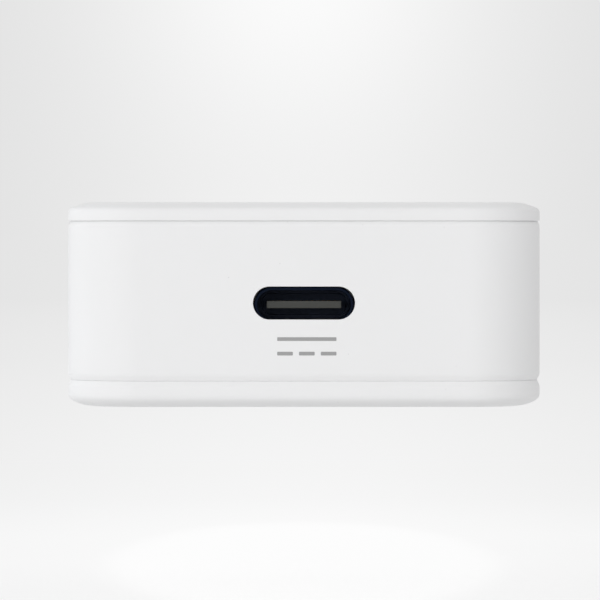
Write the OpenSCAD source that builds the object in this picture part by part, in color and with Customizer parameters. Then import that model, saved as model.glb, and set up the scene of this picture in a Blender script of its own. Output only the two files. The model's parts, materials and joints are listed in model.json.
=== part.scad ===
// Compact 20 W class USB-C wall charger with fold-away flat mains blades.
// +Z is up, +Y runs from the socket face to the back, and the origin is the middle of the underside.

/* [Housing] */
// Width across the socket face
body_w = 42.7; // [39:0.1:52]
// Depth from the socket face to the back
body_d = 44; // [40:0.5:56]
// Height over both covers
body_h = 18.4; // [17:0.1:22]
// Plan radius of the four upright corners
corner_r = 6.5; // [5:0.5:8]
// Thickness of the body shell's wall
wall = 1.5; // [1.2:0.1:1.8]
// Height of the top cover's rim
top_cover_h = 1.55; // [1.3:0.05:2]
// Height of the bottom cover's rim
bottom_cover_h = 2.37; // [2.2:0.05:3]
// Thickness of the bottom cover's floor
floor_t = 1.8; // [1.5:0.1:2.2]
// Depth of the grooves where the covers meet the shell
groove_depth = 0.31; // [0.2:0.01:0.5]
// Height of each groove's sloped side
groove_rise = 0.5; // [0.3:0.05:0.7]
// How far the top cover's bevel runs in from its rim
top_bevel_run = 1.66; // [1:0.05:2.2]
// How far the top cover's bevel falls
top_bevel_drop = 0.54; // [0.3:0.02:0.8]
// How far the bottom cover's rounded edge runs in from its rim
base_round_run = 1.8; // [1:0.05:2.4]
// How high the bottom cover's rounded edge rises
base_round_rise = 1.0; // [0.6:0.05:1.3]
// Thickness of the covers' locating lips
lip_t = 1.0; // [0.8:0.1:1.2]
// How far the locating lips reach into the shell
lip_reach = 1.7; // [1:0.1:2.5]

/* [USB socket] */
// Width of the slot in the shell
slot_w = 9.13; // [9:0.01:9.6]
// Height of the slot in the shell
slot_h = 2.95; // [2.8:0.01:3.1]
// Wall left around the slot's mouth
slot_wall = 0.7; // [0.5:0.1:1]
// How far the slot's centre lies above the receptacle's
slot_rise = 0.15; // [0:0.01:0.2]
// Width of the receptacle's shell
usb_w = 8.94; // [8.9:0.01:9]
// Height of the receptacle's shell
usb_h = 3.16; // [3.1:0.01:3.2]
// Wall of the receptacle's shell
usb_wall = 0.3; // [0.25:0.01:0.32]
// Length of the receptacle's shell
usb_len = 7.35; // [7:0.05:7.6]
// Width of the receptacle's tongue
tongue_w = 6.69; // [6.6:0.01:6.75]
// Thickness of the receptacle's tongue
tongue_t = 0.7; // [0.65:0.01:0.8]

/* [Fold-away plug] */
// Width of each blade
blade_w = 6.35; // [6:0.05:6.6]
// Thickness of each blade
blade_t = 1.5; // [1.4:0.05:1.6]
// Length of each blade that stands out of the base when unfolded
blade_len = 17; // [16:0.1:18]
// Distance between the blades' middles
blade_pitch = 12.7; // [12.5:0.05:12.9]
// Radius of the hole near each blade's tip
blade_hole_r = 1.6; // [1.4:0.05:1.7]
// How far the folded blades lie above the underside
blade_recess = 0.55; // [0.4:0.05:0.8]
// How far the detent cam stands proud of the hub
cam_rise = 0.35; // [0.25:0.01:0.45]
// Radius of the hub's trunnions
trunnion_r = 1.6; // [1.3:0.05:1.8]
// Length of each trunnion
trunnion_len = 2.4; // [2:0.1:2.6]
// Width of the finger scoop at the blades' tips
scoop_w = 19.4; // [18:0.1:21]
// Length of the finger scoop, half of it ahead of the tips
scoop_len = 8.6; // [7:0.1:9]
// Depth of the finger scoop
scoop_depth = 2.9; // [2.4:0.1:3.2]
// Thickness of the plate that holds the hub down
retainer_t = 0.8; // [0.7:0.05:1.1]

/* [Circuit board] */
// Thickness of the circuit board
board_t = 1.0; // [0.8:0.1:1.2]
// Radius of the bulk capacitors
bulk_r = 4; // [3.5:0.1:4.1]
// Width of the transformer's core
core_w = 16; // [14:0.5:16.5]
// Depth of the transformer's core
core_d = 12; // [10:0.5:12.5]
// Thickness of the pad between the transformer and the heat spreader
pad_t = 0.5; // [0.3:0.05:1]
// Radius of the output capacitors
output_r = 3.0; // [2.5:0.1:3.1]
// Radius of the common-mode choke's core
choke_r = 4; // [3.5:0.1:4.1]
// Radius of the filter inductor
drum_r = 3.2; // [2.6:0.1:3.3]
// Length of the fuse
fuse_len = 8; // [6:0.5:8.5]

/* [Hidden] */
$fn = 64;

// Clearances
gap = 0.3;          // between the moving plug and the housing
fit_gap = 0.05;     // between a trunnion and its saddle
lip_gap = 0.1;      // between a locating lip and the shell
board_gap = 0.4;    // between the board's edge and the shell
contact_gap = 0.07; // between a sliding contact and its blade
cut = 0.01;         // how far a cutting tool passes the face it opens

// Plug hinge and the stack above it
blade_x = blade_pitch / 2;
hinge_z = blade_recess + blade_w / 2;
hub_r = blade_w / 2 - 0.025;
cam_r = hub_r + cam_rise;
blade_reach = blade_len + hinge_z;
root_hole_r = 1.5;
tip_chamfer = 1.4;
pocket_top = hinge_z + cam_r + 0.2;
board_z = pocket_top + retainer_t;
board_top = board_z + board_t;

// USB receptacle, half sunk into the board's front edge
usb_z = board_top;
usb_front = -body_d / 2 + slot_wall;
usb_rear = usb_front + usb_len;
usb_inner_w = usb_w - 2 * usb_wall;
usb_inner_h = usb_h - 2 * usb_wall;
tongue_setback = 0.75;
insulator_len = 1.6;
usb_notch_gap = 0.15;
usb_foot = [1, 1.2, 0.25];
usb_foot_out = 0.35;       // middle of a foot, outside the shell's side
usb_foot_inset = 1.4;      // from the shell's ends to its feet
contact_count = 12;
contact_pitch = 0.5;
contact_setback = 0.5;     // from the tongue's tip to the contacts' pads
contact_pad = [0.26, 0.05];
contact_tail = [0.22, 0.85, 0.12];

// The blades' slots end just behind the receptacle
slot_side = 0.8;    // wall beside a blade's slot
slot_end_wall = 0.9;
slot_gap = 0.4;     // ahead of a folded blade's tip
hinge_y = usb_rear + usb_notch_gap + slot_end_wall + slot_gap + blade_reach;
slot_front = hinge_y - blade_reach - slot_gap;
slot_top = hinge_z + blade_w / 2 + gap;
blade_slot_w = blade_t + 2 * gap;
scoop_r = 2.5;
scoop_wall = 1;

// Hub and its pocket
barrel_half = blade_x + blade_t / 2 + 1.5;
cam_half = 2.5;
pocket_half = barrel_half + gap;
trunnion_end = pocket_half + trunnion_len;
pocket_front = hinge_y - cam_r - gap;
pocket_rear = hinge_y + cam_r + 0.5;
pocket_wall = 0.9;
mouth_half = hub_r + gap;
mouth_t = 1.0;
ear_outer = trunnion_end + 0.4;
retainer_front = pocket_front + 0.1;
screw_boss_r = 2;
screw_x = ear_outer + screw_boss_r - 0.4;
screw_r = 0.8;
screw_head_r = 1.4;
screw_head_h = 0.7;
screw_len = 4.5;

// Sliding contacts on the blades' round roots
spring_w = 1.4;
spring_t = 0.25;
spring_foot = 2.2;         // length soldered under the board
spring_toe = [1.7, 0.5];   // free end, ahead of the rubbing point and above it
spring_bend = [1, 0.15];
spring_heel = [1.2, 0.1];  // where the arm starts to rise, behind the rubbing point
spring_clear = 0.2;        // between the well's back wall and the arm

// Detent leaf behind the cam
leaf_t = 0.25;
leaf_half = 4.4;
leaf_y = hinge_y + hub_r + fit_gap;
leaf_bottom = mouth_t + 0.2;
leaf_top = pocket_top - 0.6;

// Inside of the shell
inner_w = body_w - 2 * wall;
inner_d = body_d - 2 * wall;
inner_r = corner_r - wall;
lip_w = inner_w - 2 * lip_gap;
lip_d = inner_d - 2 * lip_gap;
lip_r = inner_r - lip_gap;
shell_bottom = bottom_cover_h;
shell_top = body_h - top_cover_h;

// Board and its posts
board_w = inner_w - 2 * board_gap;
board_front = -inner_d / 2 + board_gap;
board_rear = inner_d / 2 - board_gap;
board_r = inner_r - board_gap;
post_r = 1.2;
post_pin_r = 0.6;
post_pin_h = 0.6;
tube_r = 1.5;
post_inset = lip_t + lip_gap + 2.2;
post_x = inner_w / 2 - post_inset;
post_y = inner_d / 2 - post_inset;
spreader_t = 0.5;
spreader_z = shell_top - spreader_t;
head_gap = 0.5;     // above the board's tall parts
head_room = spreader_z - board_top - head_gap;

// Bulk capacitors, lying in the board's side bays
lead_r = 0.3;
bay_side = 0.75;    // beside a bulk capacitor
bay_end = 0.4;      // ahead of and behind a bulk capacitor
bulk_x = board_w / 2 - bay_side - bulk_r;
bulk_z = board_top + lead_r;
strip_half = bulk_x - bulk_r - bay_side;
bung_t = 0.5;
bulk_lead = 1.8;

// Transformer, in the middle of the strip
core_plate = 1.4;
core_leg = 1.4;
core_lift = 0.4;
post_core_r = 3;
winding_r = min(core_w / 2 - core_leg - 0.45, core_d / 2);
flange_t = 0.5;
pin_bar_d = 1.9;
barrier_t = 0.35;
barrier_y = usb_rear + 1.0;
bay_front = barrier_y + barrier_t + 0.2;
bay_rear = pocket_front - pocket_wall - 0.2;
bulk_rear = bay_rear - bay_end;
bulk_len = bulk_rear - bay_front - bay_end;
bar_gap = 0.25;     // between the core and the bobbin's pin bars
bar_y = core_d / 2 + bar_gap + pin_bar_d / 2;
xf_y = barrier_y + barrier_t + 0.15 + bar_y + pin_bar_d / 2;
pin_pitch = 2.4;
core_z = board_top + core_lift;
core_top = spreader_z - pad_t;
core_h = core_top - core_z;

// Chips, as [width, depth, height], and how far their leads reach out from the middle
chip_lead_w = 0.4;
chip_lead_t = 0.2;
bridge_size = [5, 3.8, 2.2];
bridge_reach = 2.6;
diode_size = [2.6, 4, 2];
controller_size = [4.4, 3.4, 1.5];
controller_reach = 2.35;
rectifier_size = [4.9, 3.9, 1.5];
rectifier_reach = 2.65;
opto_size = [4.2, 4.4, 2];
opto_reach = 2.8;
pd_size = [4, 4, 0.85];
switch_size = [3.3, 3.3, 0.85];
resistor_size = [0.8, 1.4, 0.4];
resistor_pitch = 1.6;
port_chip_size = [1.6, 0.8, 0.8];
port_chip_pitch = 1.3;
port_chip_out = 1.3;       // beside the receptacle
port_chip_setback = 2.5;   // behind the receptacle's front
snub_chip_size = [0.8, 1.2, 0.6];
snub_chip_pitch = 2;

// Mains parts behind the transformer
part_gap = 0.4;
pin_r = 0.3;
pin_drop = 1.0;     // how far soldered pins pass the board
coil_t = 0.8;
choke_hole_r = 2.1;
choke_h = head_room - 2 * coil_t;
choke_x = choke_r + coil_t + 3.1 - post_x;
choke_y = board_rear - choke_r - coil_t - 3.4;
drum_h = head_room;
drum_x = post_x - drum_r - 2;
drum_y = board_rear - drum_r - 2.2;
bridge_x = choke_x + choke_r + coil_t + part_gap + bridge_size.x / 2;
bridge_y = xf_y + bar_y + pin_bar_d / 2 + part_gap + bridge_reach;
diode_x = bridge_x + bridge_size.x / 2 + part_gap + diode_size.x / 2;
controller_x = board_w / 2 - part_gap - controller_size.x / 2;
controller_y = bulk_rear + bulk_lead + part_gap + controller_reach;
fuse_r = 1.6;
fuse_y = board_rear - fuse_r - 0.2;
fuse_pin_x = fuse_len / 2 + 0.8;
fuse_lead_r = 0.3;
disc_lift = 0.6;
varistor_t = 2;
varistor_r = (head_room - disc_lift) / 2;
varistor_x = (choke_x + choke_r + coil_t + drum_x - drum_r) / 2;
varistor_y = fuse_y - fuse_r - 0.3 - varistor_t / 2;
varistor_pin = 2;

// Low-voltage parts beside the receptacle
output_x = usb_w / 2 + 0.6 + output_r + 0.55;
output_y = board_front + output_r + 0.75;
output_base_t = 0.5;
output_h = head_room - output_base_t;
y_cap_r = 2.4;
y_cap_t = 2;
y_cap_x = -(output_x + output_r + part_gap + y_cap_r);
y_cap_y = barrier_y - 0.3 - y_cap_t / 2;
y_cap_pin = 1.8;

// Edge curve of the bottom cover, as [distance in from the rim, height] pairs
round_steps = 6;
base_curve = [
  for (i = [0 : round_steps])
    let (a = 90 * i / round_steps)
    [base_round_run * (1 - pow(sin(a), 1.15)), base_round_rise * (1 - pow(cos(a), 0.9))]
];

// ---------- shared shapes ----------

// Rectangle with round corners, centred, from true circles
module rounded_rect(w, d, r) {
  square([w - 2 * r, d], center = true);
  square([w, d - 2 * r], center = true);
  for (x = [-1, 1], y = [-1, 1])
    translate([x * (w / 2 - r), y * (d / 2 - r)]) circle(r);
}

// Upright block with round corners, standing on z
module rounded_block(w, d, r, z, h) {
  translate([0, 0, z]) linear_extrude(h) rounded_rect(w, d, r);
}

// Slab whose edge follows a list of [inset, height] pairs all the way round
module profiled_slab(w, d, r, z, edge) {
  last = len(edge) - 1;
  inner_end = [[0, edge[last][1]], [0, edge[0][1]]];
  translate([0, 0, z]) {
    for (x = [-1, 1], y = [-1, 1])
      translate([x * (w / 2 - r), y * (d / 2 - r), 0])
        rotate_extrude() polygon(concat([for (p = edge) [r - p[0], p[1]]], inner_end));
    rotate([90, 0, 90]) linear_extrude(w - 2 * r, center = true) edge_section(d, edge);
    rotate([90, 0, 0]) linear_extrude(d - 2 * r, center = true) edge_section(w, edge);
  }
}

// The slab's section across its full width
module edge_section(w, edge) {
  last = len(edge) - 1;
  polygon(concat(
    [for (p = edge) [w / 2 - p[0], p[1]]],
    [for (i = [last : -1 : 0]) [-(w / 2 - edge[i][0]), edge[i][1]]]
  ));
}

// Bar with round ends, lying along Y, with its front face at y
module stadium_bar(w, h, y, z, length) {
  translate([0, y, z]) rotate([-90, 0, 0]) linear_extrude(length) {
    square([w - h, h], center = true);
    for (x = [-1, 1]) translate([x * (w - h) / 2, 0]) circle(h / 2);
  }
}

// Box given by its lowest and highest corners
module span_box(low, high) {
  translate(low) cube(high - low);
}

// Cylinder along X, between two places
module x_cylinder(r, x0, x1, y, z) {
  translate([x0, y, z]) rotate([0, 90, 0]) cylinder(r = r, h = x1 - x0);
}

// Flat chip without leads, lying on the board's top at [x, y]
module top_chip(p, size) {
  translate([p.x - size.x / 2, p.y - size.y / 2, board_top]) cube(size);
}

// Flat chip without leads, hanging under the board at [x, y]
module under_chip(p, size) {
  translate([p.x - size.x / 2, p.y - size.y / 2, board_z - size.z]) cube(size);
}

// Flat leads that run through a chip at [x, y] and stand out by reach each way
module chip_leads(p, reach, count, pitch, z) {
  for (i = [0 : count - 1])
    translate([p.x + (i - (count - 1) / 2) * pitch - chip_lead_w / 2, p.y - reach, z])
      cube([chip_lead_w, 2 * reach, chip_lead_t]);
}

// ---------- housing ----------

module bottom_cover() {
  top_edge = [[0, bottom_cover_h - groove_rise], [groove_depth, bottom_cover_h]];
  color("white") difference() {
    union() {
      difference() {
        profiled_slab(body_w, body_d, corner_r, 0, concat(base_curve, top_edge));
        rounded_block(lip_w - 2 * lip_t, lip_d - 2 * lip_t, lip_r - lip_t, floor_t, body_h);
      }
      locating_lip(floor_t + 0.2, bottom_cover_h + lip_reach);
      plug_well();
      board_posts();
    }
    plug_hollows();
    finger_scoop(-cut, 0);
  }
}

// Ring that keys a cover into the shell
module locating_lip(z0, z1) {
  difference() {
    rounded_block(lip_w, lip_d, lip_r, z0, z1 - z0);
    rounded_block(lip_w - 2 * lip_t, lip_d - 2 * lip_t, lip_r - lip_t, z0 - cut, z1 - z0 + 2 * cut);
  }
}

// Walls of the blades' slots, the hub's pocket, the screw bosses and the scoop's back
module plug_well() {
  slot_outer = blade_slot_w / 2 + slot_side;
  for (s = [-1, 1]) {
    span_box(
      [s * blade_x - slot_outer, slot_front - slot_end_wall, floor_t / 2],
      [s * blade_x + slot_outer, pocket_front, slot_top + slot_side]
    );
    translate([s * screw_x, hinge_y, floor_t / 2]) cylinder(r = screw_boss_r, h = pocket_top - floor_t / 2);
  }
  span_box(
    [-ear_outer, pocket_front - pocket_wall, floor_t / 2],
    [ear_outer, pocket_rear + pocket_wall, pocket_top]
  );
  finger_scoop(floor_t / 2, scoop_wall);
}

// What the plug needs open: slots, pocket, mouth, saddles, and the screws' pilot holes
module plug_hollows() {
  for (s = [-1, 1]) {
    span_box(
      [s * blade_x - blade_slot_w / 2, slot_front, -cut],
      [s * blade_x + blade_slot_w / 2, hinge_y, slot_top]
    );
    saddle_x = s > 0 ? pocket_half - cut : -pocket_half - trunnion_len - 0.1;
    saddle_end = s > 0 ? pocket_half + trunnion_len + 0.1 : -pocket_half + cut;
    x_cylinder(trunnion_r + fit_gap, saddle_x, saddle_end, hinge_y, hinge_z);
    span_box(
      [saddle_x, hinge_y - trunnion_r - fit_gap, hinge_z],
      [saddle_end, hinge_y + trunnion_r + fit_gap, pocket_top + cut]
    );
    translate([s * screw_x, hinge_y, pocket_top - screw_len])
      cylinder(r = screw_r, h = screw_len + cut);
  }
  difference() {
    span_box([-pocket_half, pocket_front, mouth_t], [pocket_half, pocket_rear, board_z]);
    for (s = [-1, 1]) leaf_rib(s);
  }
  span_box([-pocket_half, hinge_y - mouth_half, -cut], [pocket_half, hinge_y + mouth_half, mouth_t + cut]);
}

// Rib behind one end of the detent leaf
module leaf_rib(s) {
  translate([s * (leaf_half - 0.6) - 0.5, leaf_y + leaf_t, 0]) cube([1, pocket_rear, leaf_top]);
}

// Rounded scoop under the blades' tips, from height z up, grown by a wall for its inner side
module finger_scoop(z, grow) {
  translate([0, slot_front, 0])
    rounded_block(scoop_w + 2 * grow, scoop_len + 2 * grow, scoop_r + grow, z, scoop_depth + grow - z);
}

// Posts that carry the board, each with a locating pin
module board_posts() {
  for (x = [-1, 1], y = [-1, 1]) translate([x * post_x, y * post_y, 0]) {
    translate([0, 0, floor_t / 2]) cylinder(r = post_r, h = board_z - floor_t / 2);
    translate([0, 0, board_z - cut]) cylinder(r = post_pin_r, h = board_t + post_pin_h + cut);
  }
}

module body_shell() {
  height = shell_top - shell_bottom;
  edge = [[groove_depth, 0], [0, groove_rise], [0, height - groove_rise], [groove_depth, height]];
  color("white") difference() {
    profiled_slab(body_w, body_d, corner_r, shell_bottom, edge);
    rounded_block(inner_w, inner_d, inner_r, shell_bottom - cut, height + 2 * cut);
    stadium_bar(slot_w, slot_h, -body_d / 2 - cut, usb_z + slot_rise, wall + 1);
    span_box(
      [-usb_w / 2 - 0.25, usb_front, usb_z - usb_h / 2 - 0.25],
      [usb_w / 2 + 0.25, 0, usb_z + usb_h / 2 + 0.25]
    );
  }
}

module top_cover() {
  edge = [[0, 0], [0, top_cover_h - top_bevel_drop], [top_bevel_run, top_cover_h]];
  color("white") {
    profiled_slab(body_w, body_d, corner_r, shell_top, edge);
    locating_lip(shell_top - lip_reach, shell_top + cut);
    for (x = [-1, 1], y = [-1, 1]) translate([x * post_x, y * post_y, board_top])
      difference() {
        cylinder(r = tube_r, h = shell_top + cut - board_top);
        translate([0, 0, -cut]) cylinder(r = post_pin_r + 0.2, h = post_pin_h + 0.4);
      }
  }
}

// ---------- fold-away plug ----------

module hub_retainer() {
  color("whitesmoke") difference() {
    union() {
      span_box([-ear_outer, retainer_front, pocket_top], [ear_outer, pocket_rear + pocket_wall, board_z]);
      for (s = [-1, 1]) {
        translate([s * screw_x, hinge_y, pocket_top]) cylinder(r = screw_boss_r, h = retainer_t);
        keeper_x = s * (pocket_half + trunnion_len / 2);
        translate([keeper_x - 0.95, hinge_y - trunnion_r, hinge_z + trunnion_r + fit_gap])
          cube([1.9, 2 * trunnion_r, pocket_top - hinge_z - trunnion_r - fit_gap + cut]);
      }
    }
    for (s = [-1, 1]) {
      span_box(
        [s * blade_x - 0.95, hinge_y - 2.2, pocket_top - cut],
        [s * blade_x + 0.95, pocket_rear + pocket_wall + cut, board_z + cut]
      );
      screw_shape(s, 0);
    }
  }
}

// One countersunk screw through the retainer, or the hole it leaves
module screw_shape(s, shorten) {
  translate([s * screw_x, hinge_y, 0]) {
    translate([0, 0, board_z - screw_head_h]) cylinder(r1 = screw_r, r2 = screw_head_r, h = screw_head_h);
    translate([0, 0, pocket_top - screw_len + shorten])
      cylinder(r = screw_r, h = screw_len + retainer_t - screw_head_h - shorten);
  }
}

module retainer_screws() {
  color("silver") for (s = [-1, 1]) difference() {
    screw_shape(s, 0.5);
    translate([s * screw_x, hinge_y, board_z - 0.25]) {
      translate([-0.9, -0.12, 0]) cube([1.8, 0.24, 1]);
      translate([-0.12, -0.9, 0]) cube([0.24, 1.8, 1]);
    }
  }
}

module plug_hub() {
  color("whitesmoke") difference() {
    union() {
      x_cylinder(hub_r, -barrel_half, barrel_half, hinge_y, hinge_z);
      x_cylinder(trunnion_r, -trunnion_end, trunnion_end, hinge_y, hinge_z);
      intersection() {
        x_cylinder(cam_r, -cam_half, cam_half, hinge_y, hinge_z);
        span_box(
          [-cam_half, hinge_y - hub_r, hinge_z - hub_r],
          [cam_half, hinge_y + hub_r, hinge_z + cam_r]
        );
      }
    }
    for (s = [-1, 1]) blade_plate(s);
  }
}

// One blade, folded forwards, with the hole that the hub's plastic fills
module blade_plate(s) {
  outline = [
    [0, -blade_w / 2], [blade_reach - tip_chamfer, -blade_w / 2], [blade_reach, -blade_w / 2 + tip_chamfer],
    [blade_reach, blade_w / 2 - tip_chamfer], [blade_reach - tip_chamfer, blade_w / 2], [0, blade_w / 2]
  ];
  translate([s * blade_x + blade_t / 2, hinge_y, hinge_z]) rotate([0, 90, 180])
    rotate([0, 0, 90]) linear_extrude(blade_t) difference() {
      union() {
        circle(blade_w / 2);
        polygon(outline);
      }
      circle(root_hole_r);
      translate([blade_reach - 5.3, 0]) circle(blade_hole_r);
    }
}

module line_blade() {
  color("lightgray") blade_plate(1);
}

module neutral_blade() {
  color("lightgray") blade_plate(-1);
}

module detent_spring() {
  color("silver") translate([-leaf_half, leaf_y, leaf_bottom])
    cube([2 * leaf_half, leaf_t, leaf_top - leaf_bottom]);
}

// Leaf that slides on a blade's round root and is soldered under the board
module contact_spring(s) {
  rub_z = hinge_z + blade_w / 2 + contact_gap;
  foot_z = board_z - spring_t;
  foot_y = pocket_rear + pocket_wall + spring_clear;
  line = [
    [foot_y + spring_foot, foot_z], [foot_y, foot_z],
    [hinge_y + spring_heel.x, rub_z + spring_heel.y], [hinge_y, rub_z],
    [hinge_y - spring_bend.x, rub_z + spring_bend.y], [hinge_y - spring_toe.x, rub_z + spring_toe.y]
  ];
  last = len(line) - 1;
  translate([s * blade_x, 0, 0]) rotate([90, 0, 90]) linear_extrude(spring_w, center = true)
    polygon(concat(line, [for (i = [last : -1 : 0]) line[i] + [0, spring_t]]));
}

module line_contact() {
  color("goldenrod") contact_spring(1);
}

module neutral_contact() {
  color("goldenrod") contact_spring(-1);
}

// ---------- circuit board ----------

// Where pins pass through the board, as [x, y] pairs
transformer_holes = [
  for (x = [-1.5, -0.5, 0.5, 1.5], y = [-1, 1]) [x * pin_pitch, xf_y + y * bar_y]
];
fuse_holes = [for (s = [-1, 1]) [s * fuse_pin_x, fuse_y]];
varistor_holes = [for (s = [-1, 1]) [varistor_x + s * varistor_pin, varistor_y]];
y_cap_holes = [for (s = [-1, 1]) [y_cap_x + s * y_cap_pin, y_cap_y]];

module main_board() {
  color("seagreen") difference() {
    translate([0, 0, board_z]) linear_extrude(board_t)
      translate([0, (board_front + board_rear) / 2])
        rounded_rect(board_w, board_rear - board_front, board_r);
    for (s = [-1, 1]) span_box(
      [s > 0 ? strip_half : -board_w, bay_front, board_z - cut],
      [s > 0 ? board_w : -strip_half, bay_rear, board_top + cut]
    );
    span_box(
      [-usb_w / 2 - usb_notch_gap, -body_d / 2, board_z - cut],
      [usb_w / 2 + usb_notch_gap, usb_rear + usb_notch_gap, board_top + cut]
    );
    for (x = [-1, 1], y = [-1, 1]) board_hole([x * post_x, y * post_y], post_pin_r + 0.05);
    for (p = concat(transformer_holes, fuse_holes, varistor_holes, y_cap_holes)) board_hole(p, pin_r);
  }
}

module board_hole(p, r) {
  translate([p[0], p[1], board_z - cut]) cylinder(r = r, h = board_t + 2 * cut);
}

// ---------- USB receptacle ----------

module usb_shell() {
  color("dimgray") {
    difference() {
      stadium_bar(usb_w, usb_h, usb_front, usb_z, usb_len);
      stadium_bar(usb_inner_w, usb_inner_h, usb_front - cut, usb_z, usb_len + 2 * cut);
    }
    for (s = [-1, 1], y = [usb_front + usb_foot_inset, usb_rear - usb_foot_inset - usb_foot.y])
      translate([s * (usb_w / 2 + usb_foot_out) - usb_foot.x / 2, y, board_top]) cube(usb_foot);
  }
}

module usb_insulator() {
  color("black") stadium_bar(usb_inner_w, usb_inner_h, usb_rear - insulator_len, usb_z, insulator_len);
}

module usb_tongue() {
  tongue_front = usb_front + tongue_setback;
  color("dimgray") span_box(
    [-tongue_w / 2, tongue_front, usb_z - tongue_t / 2],
    [tongue_w / 2, usb_rear - insulator_len, usb_z + tongue_t / 2]
  );
}

// A row of pads on each face of the tongue, and their tails on the board
module usb_contacts() {
  pad_front = usb_front + tongue_setback + contact_setback;
  pad_size = [contact_pad.x, usb_rear - insulator_len - pad_front, contact_pad.y];
  color("gold") for (i = [0 : contact_count - 1]) {
    x = (i - (contact_count - 1) / 2) * contact_pitch;
    for (z = [usb_z + tongue_t / 2, usb_z - tongue_t / 2 - contact_pad.y])
      translate([x - contact_pad.x / 2, pad_front, z]) cube(pad_size);
    translate([x - contact_tail.x / 2, usb_rear, board_top]) cube(contact_tail);
  }
}

// ---------- mains side ----------

module fuse() {
  color("saddlebrown") x_cylinder(fuse_r, -fuse_len / 2, fuse_len / 2, fuse_y, board_top + fuse_r);
}

module fuse_leads() {
  color("silver") for (s = [-1, 1]) translate([0, fuse_y, 0]) {
    lead_end = fuse_pin_x + fuse_lead_r;
    translate([s > 0 ? fuse_len / 2 : -lead_end, -fuse_lead_r, board_top + fuse_r - fuse_lead_r])
      cube([lead_end - fuse_len / 2, 2 * fuse_lead_r, 2 * fuse_lead_r]);
    translate([s * fuse_pin_x, 0, board_z - pin_drop]) cylinder(r = pin_r, h = board_t + pin_drop + fuse_r);
  }
}

// Disc on two pins, standing across X, whose pins pass the board by drop
module disc_part(r, t, x, y, holes, drop) {
  translate([x, y + t / 2, board_top + disc_lift + r]) rotate([90, 0, 0]) cylinder(r = r, h = t);
  for (p = holes) translate([p.x, p.y, board_z - drop])
    cylinder(r = pin_r, h = board_t + drop + disc_lift + r / 2);
}

// Its pins end flush, because the hub's retainer lies under this part of the board
module varistor() {
  color("royalblue") disc_part(varistor_r, varistor_t, varistor_x, varistor_y, varistor_holes, 0);
}

module y_capacitor() {
  color("steelblue") disc_part(y_cap_r, y_cap_t, y_cap_x, y_cap_y, y_cap_holes, pin_drop);
}

// Ring lying flat with its middle at z
module ring(outer, inner, h, z) {
  translate([0, 0, z - h / 2]) difference() {
    cylinder(r = outer, h = h);
    translate([0, 0, -cut]) cylinder(r = inner, h = h + 2 * cut);
  }
}

choke_z = board_top + coil_t + choke_h / 2;
module choke_core() {
  color("darkslategray") translate([choke_x, choke_y, 0]) ring(choke_r, choke_hole_r, choke_h, choke_z);
}

// Two windings, one on each side of the ring, leaving the core free between them
module choke_windings() {
  color("peru") translate([choke_x, choke_y, 0]) for (s = [0, 180]) rotate([0, 0, s]) difference() {
    intersection() {
      ring(choke_r + coil_t, choke_hole_r - coil_t, choke_h + 2 * coil_t, choke_z);
      translate([1, -choke_r, 0]) cube([2 * choke_r, 2 * choke_r, body_h]);
    }
    ring(choke_r, choke_hole_r, choke_h, choke_z);
  }
}

// Drum core on the board, with a waist that the winding fills
drum_flange = 0.9;
drum_waist_r = 1.6;
module filter_inductor() {
  color("darkslategray") translate([drum_x, drum_y, board_top]) {
    cylinder(r = drum_r, h = drum_flange);
    cylinder(r = drum_waist_r, h = drum_h);
    translate([0, 0, drum_h - drum_flange]) cylinder(r = drum_r, h = drum_flange);
  }
}

module filter_winding() {
  color("peru") translate([drum_x, drum_y, 0])
    ring(drum_r - 0.3, drum_waist_r, drum_h - 2 * drum_flange, board_top + drum_h / 2);
}

module bridge_rectifier() {
  color("#222222") {
    top_chip([bridge_x, bridge_y], bridge_size);
    chip_leads([bridge_x, bridge_y], bridge_reach, 2, 3, board_top);
  }
}

module bulk_capacitor(s) {
  translate([s * bulk_x, bulk_rear - bung_t, bulk_z]) rotate([90, 0, 0])
    cylinder(r = bulk_r, h = bulk_len - bung_t);
}

module bulk_capacitor_left() {
  color("#1e2a38") bulk_capacitor(-1);
}

module bulk_capacitor_right() {
  color("#1e2a38") bulk_capacitor(1);
}

module capacitor_bungs() {
  color("#333333") for (s = [-1, 1])
    translate([s * bulk_x, bulk_rear, bulk_z]) rotate([90, 0, 0]) cylinder(r = bulk_r - 0.3, h = bung_t);
}

// Two leads from each bulk capacitor, lying on the board's top
module capacitor_leads() {
  color("silver") for (s = [-1, 1], t = [-1, 1])
    translate([s * bulk_x + t * 1.75, bulk_rear, bulk_z]) rotate([-90, 0, 0])
      cylinder(r = lead_r, h = bulk_lead);
}

module primary_controller() {
  color("#222222") {
    top_chip([controller_x, controller_y], controller_size);
    chip_leads([controller_x, controller_y], controller_reach, 4, 1.1, board_top);
  }
}

module snubber_diode() {
  color("#222222") top_chip([diode_x, bridge_y], diode_size);
}

// ---------- transformer ----------

// Half of the core: a plate, two side legs and half the middle post
module core_half(h) {
  translate([-core_w / 2, -core_d / 2, 0]) cube([core_w, core_d, core_plate]);
  for (s = [0, 1]) translate([s ? core_w / 2 - core_leg : -core_w / 2, -core_d / 2, 0])
    cube([core_leg, core_d, h]);
  cylinder(r = post_core_r, h = h);
}

module transformer_core_lower() {
  color("darkslategray") translate([0, xf_y, core_z]) core_half(core_h / 2);
}

module transformer_core_upper() {
  color("darkslategray") translate([0, xf_y, core_top]) rotate([180, 0, 0]) core_half(core_h / 2);
}

spool_z = core_z + core_plate;
spool_h = core_h - 2 * core_plate;

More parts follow.
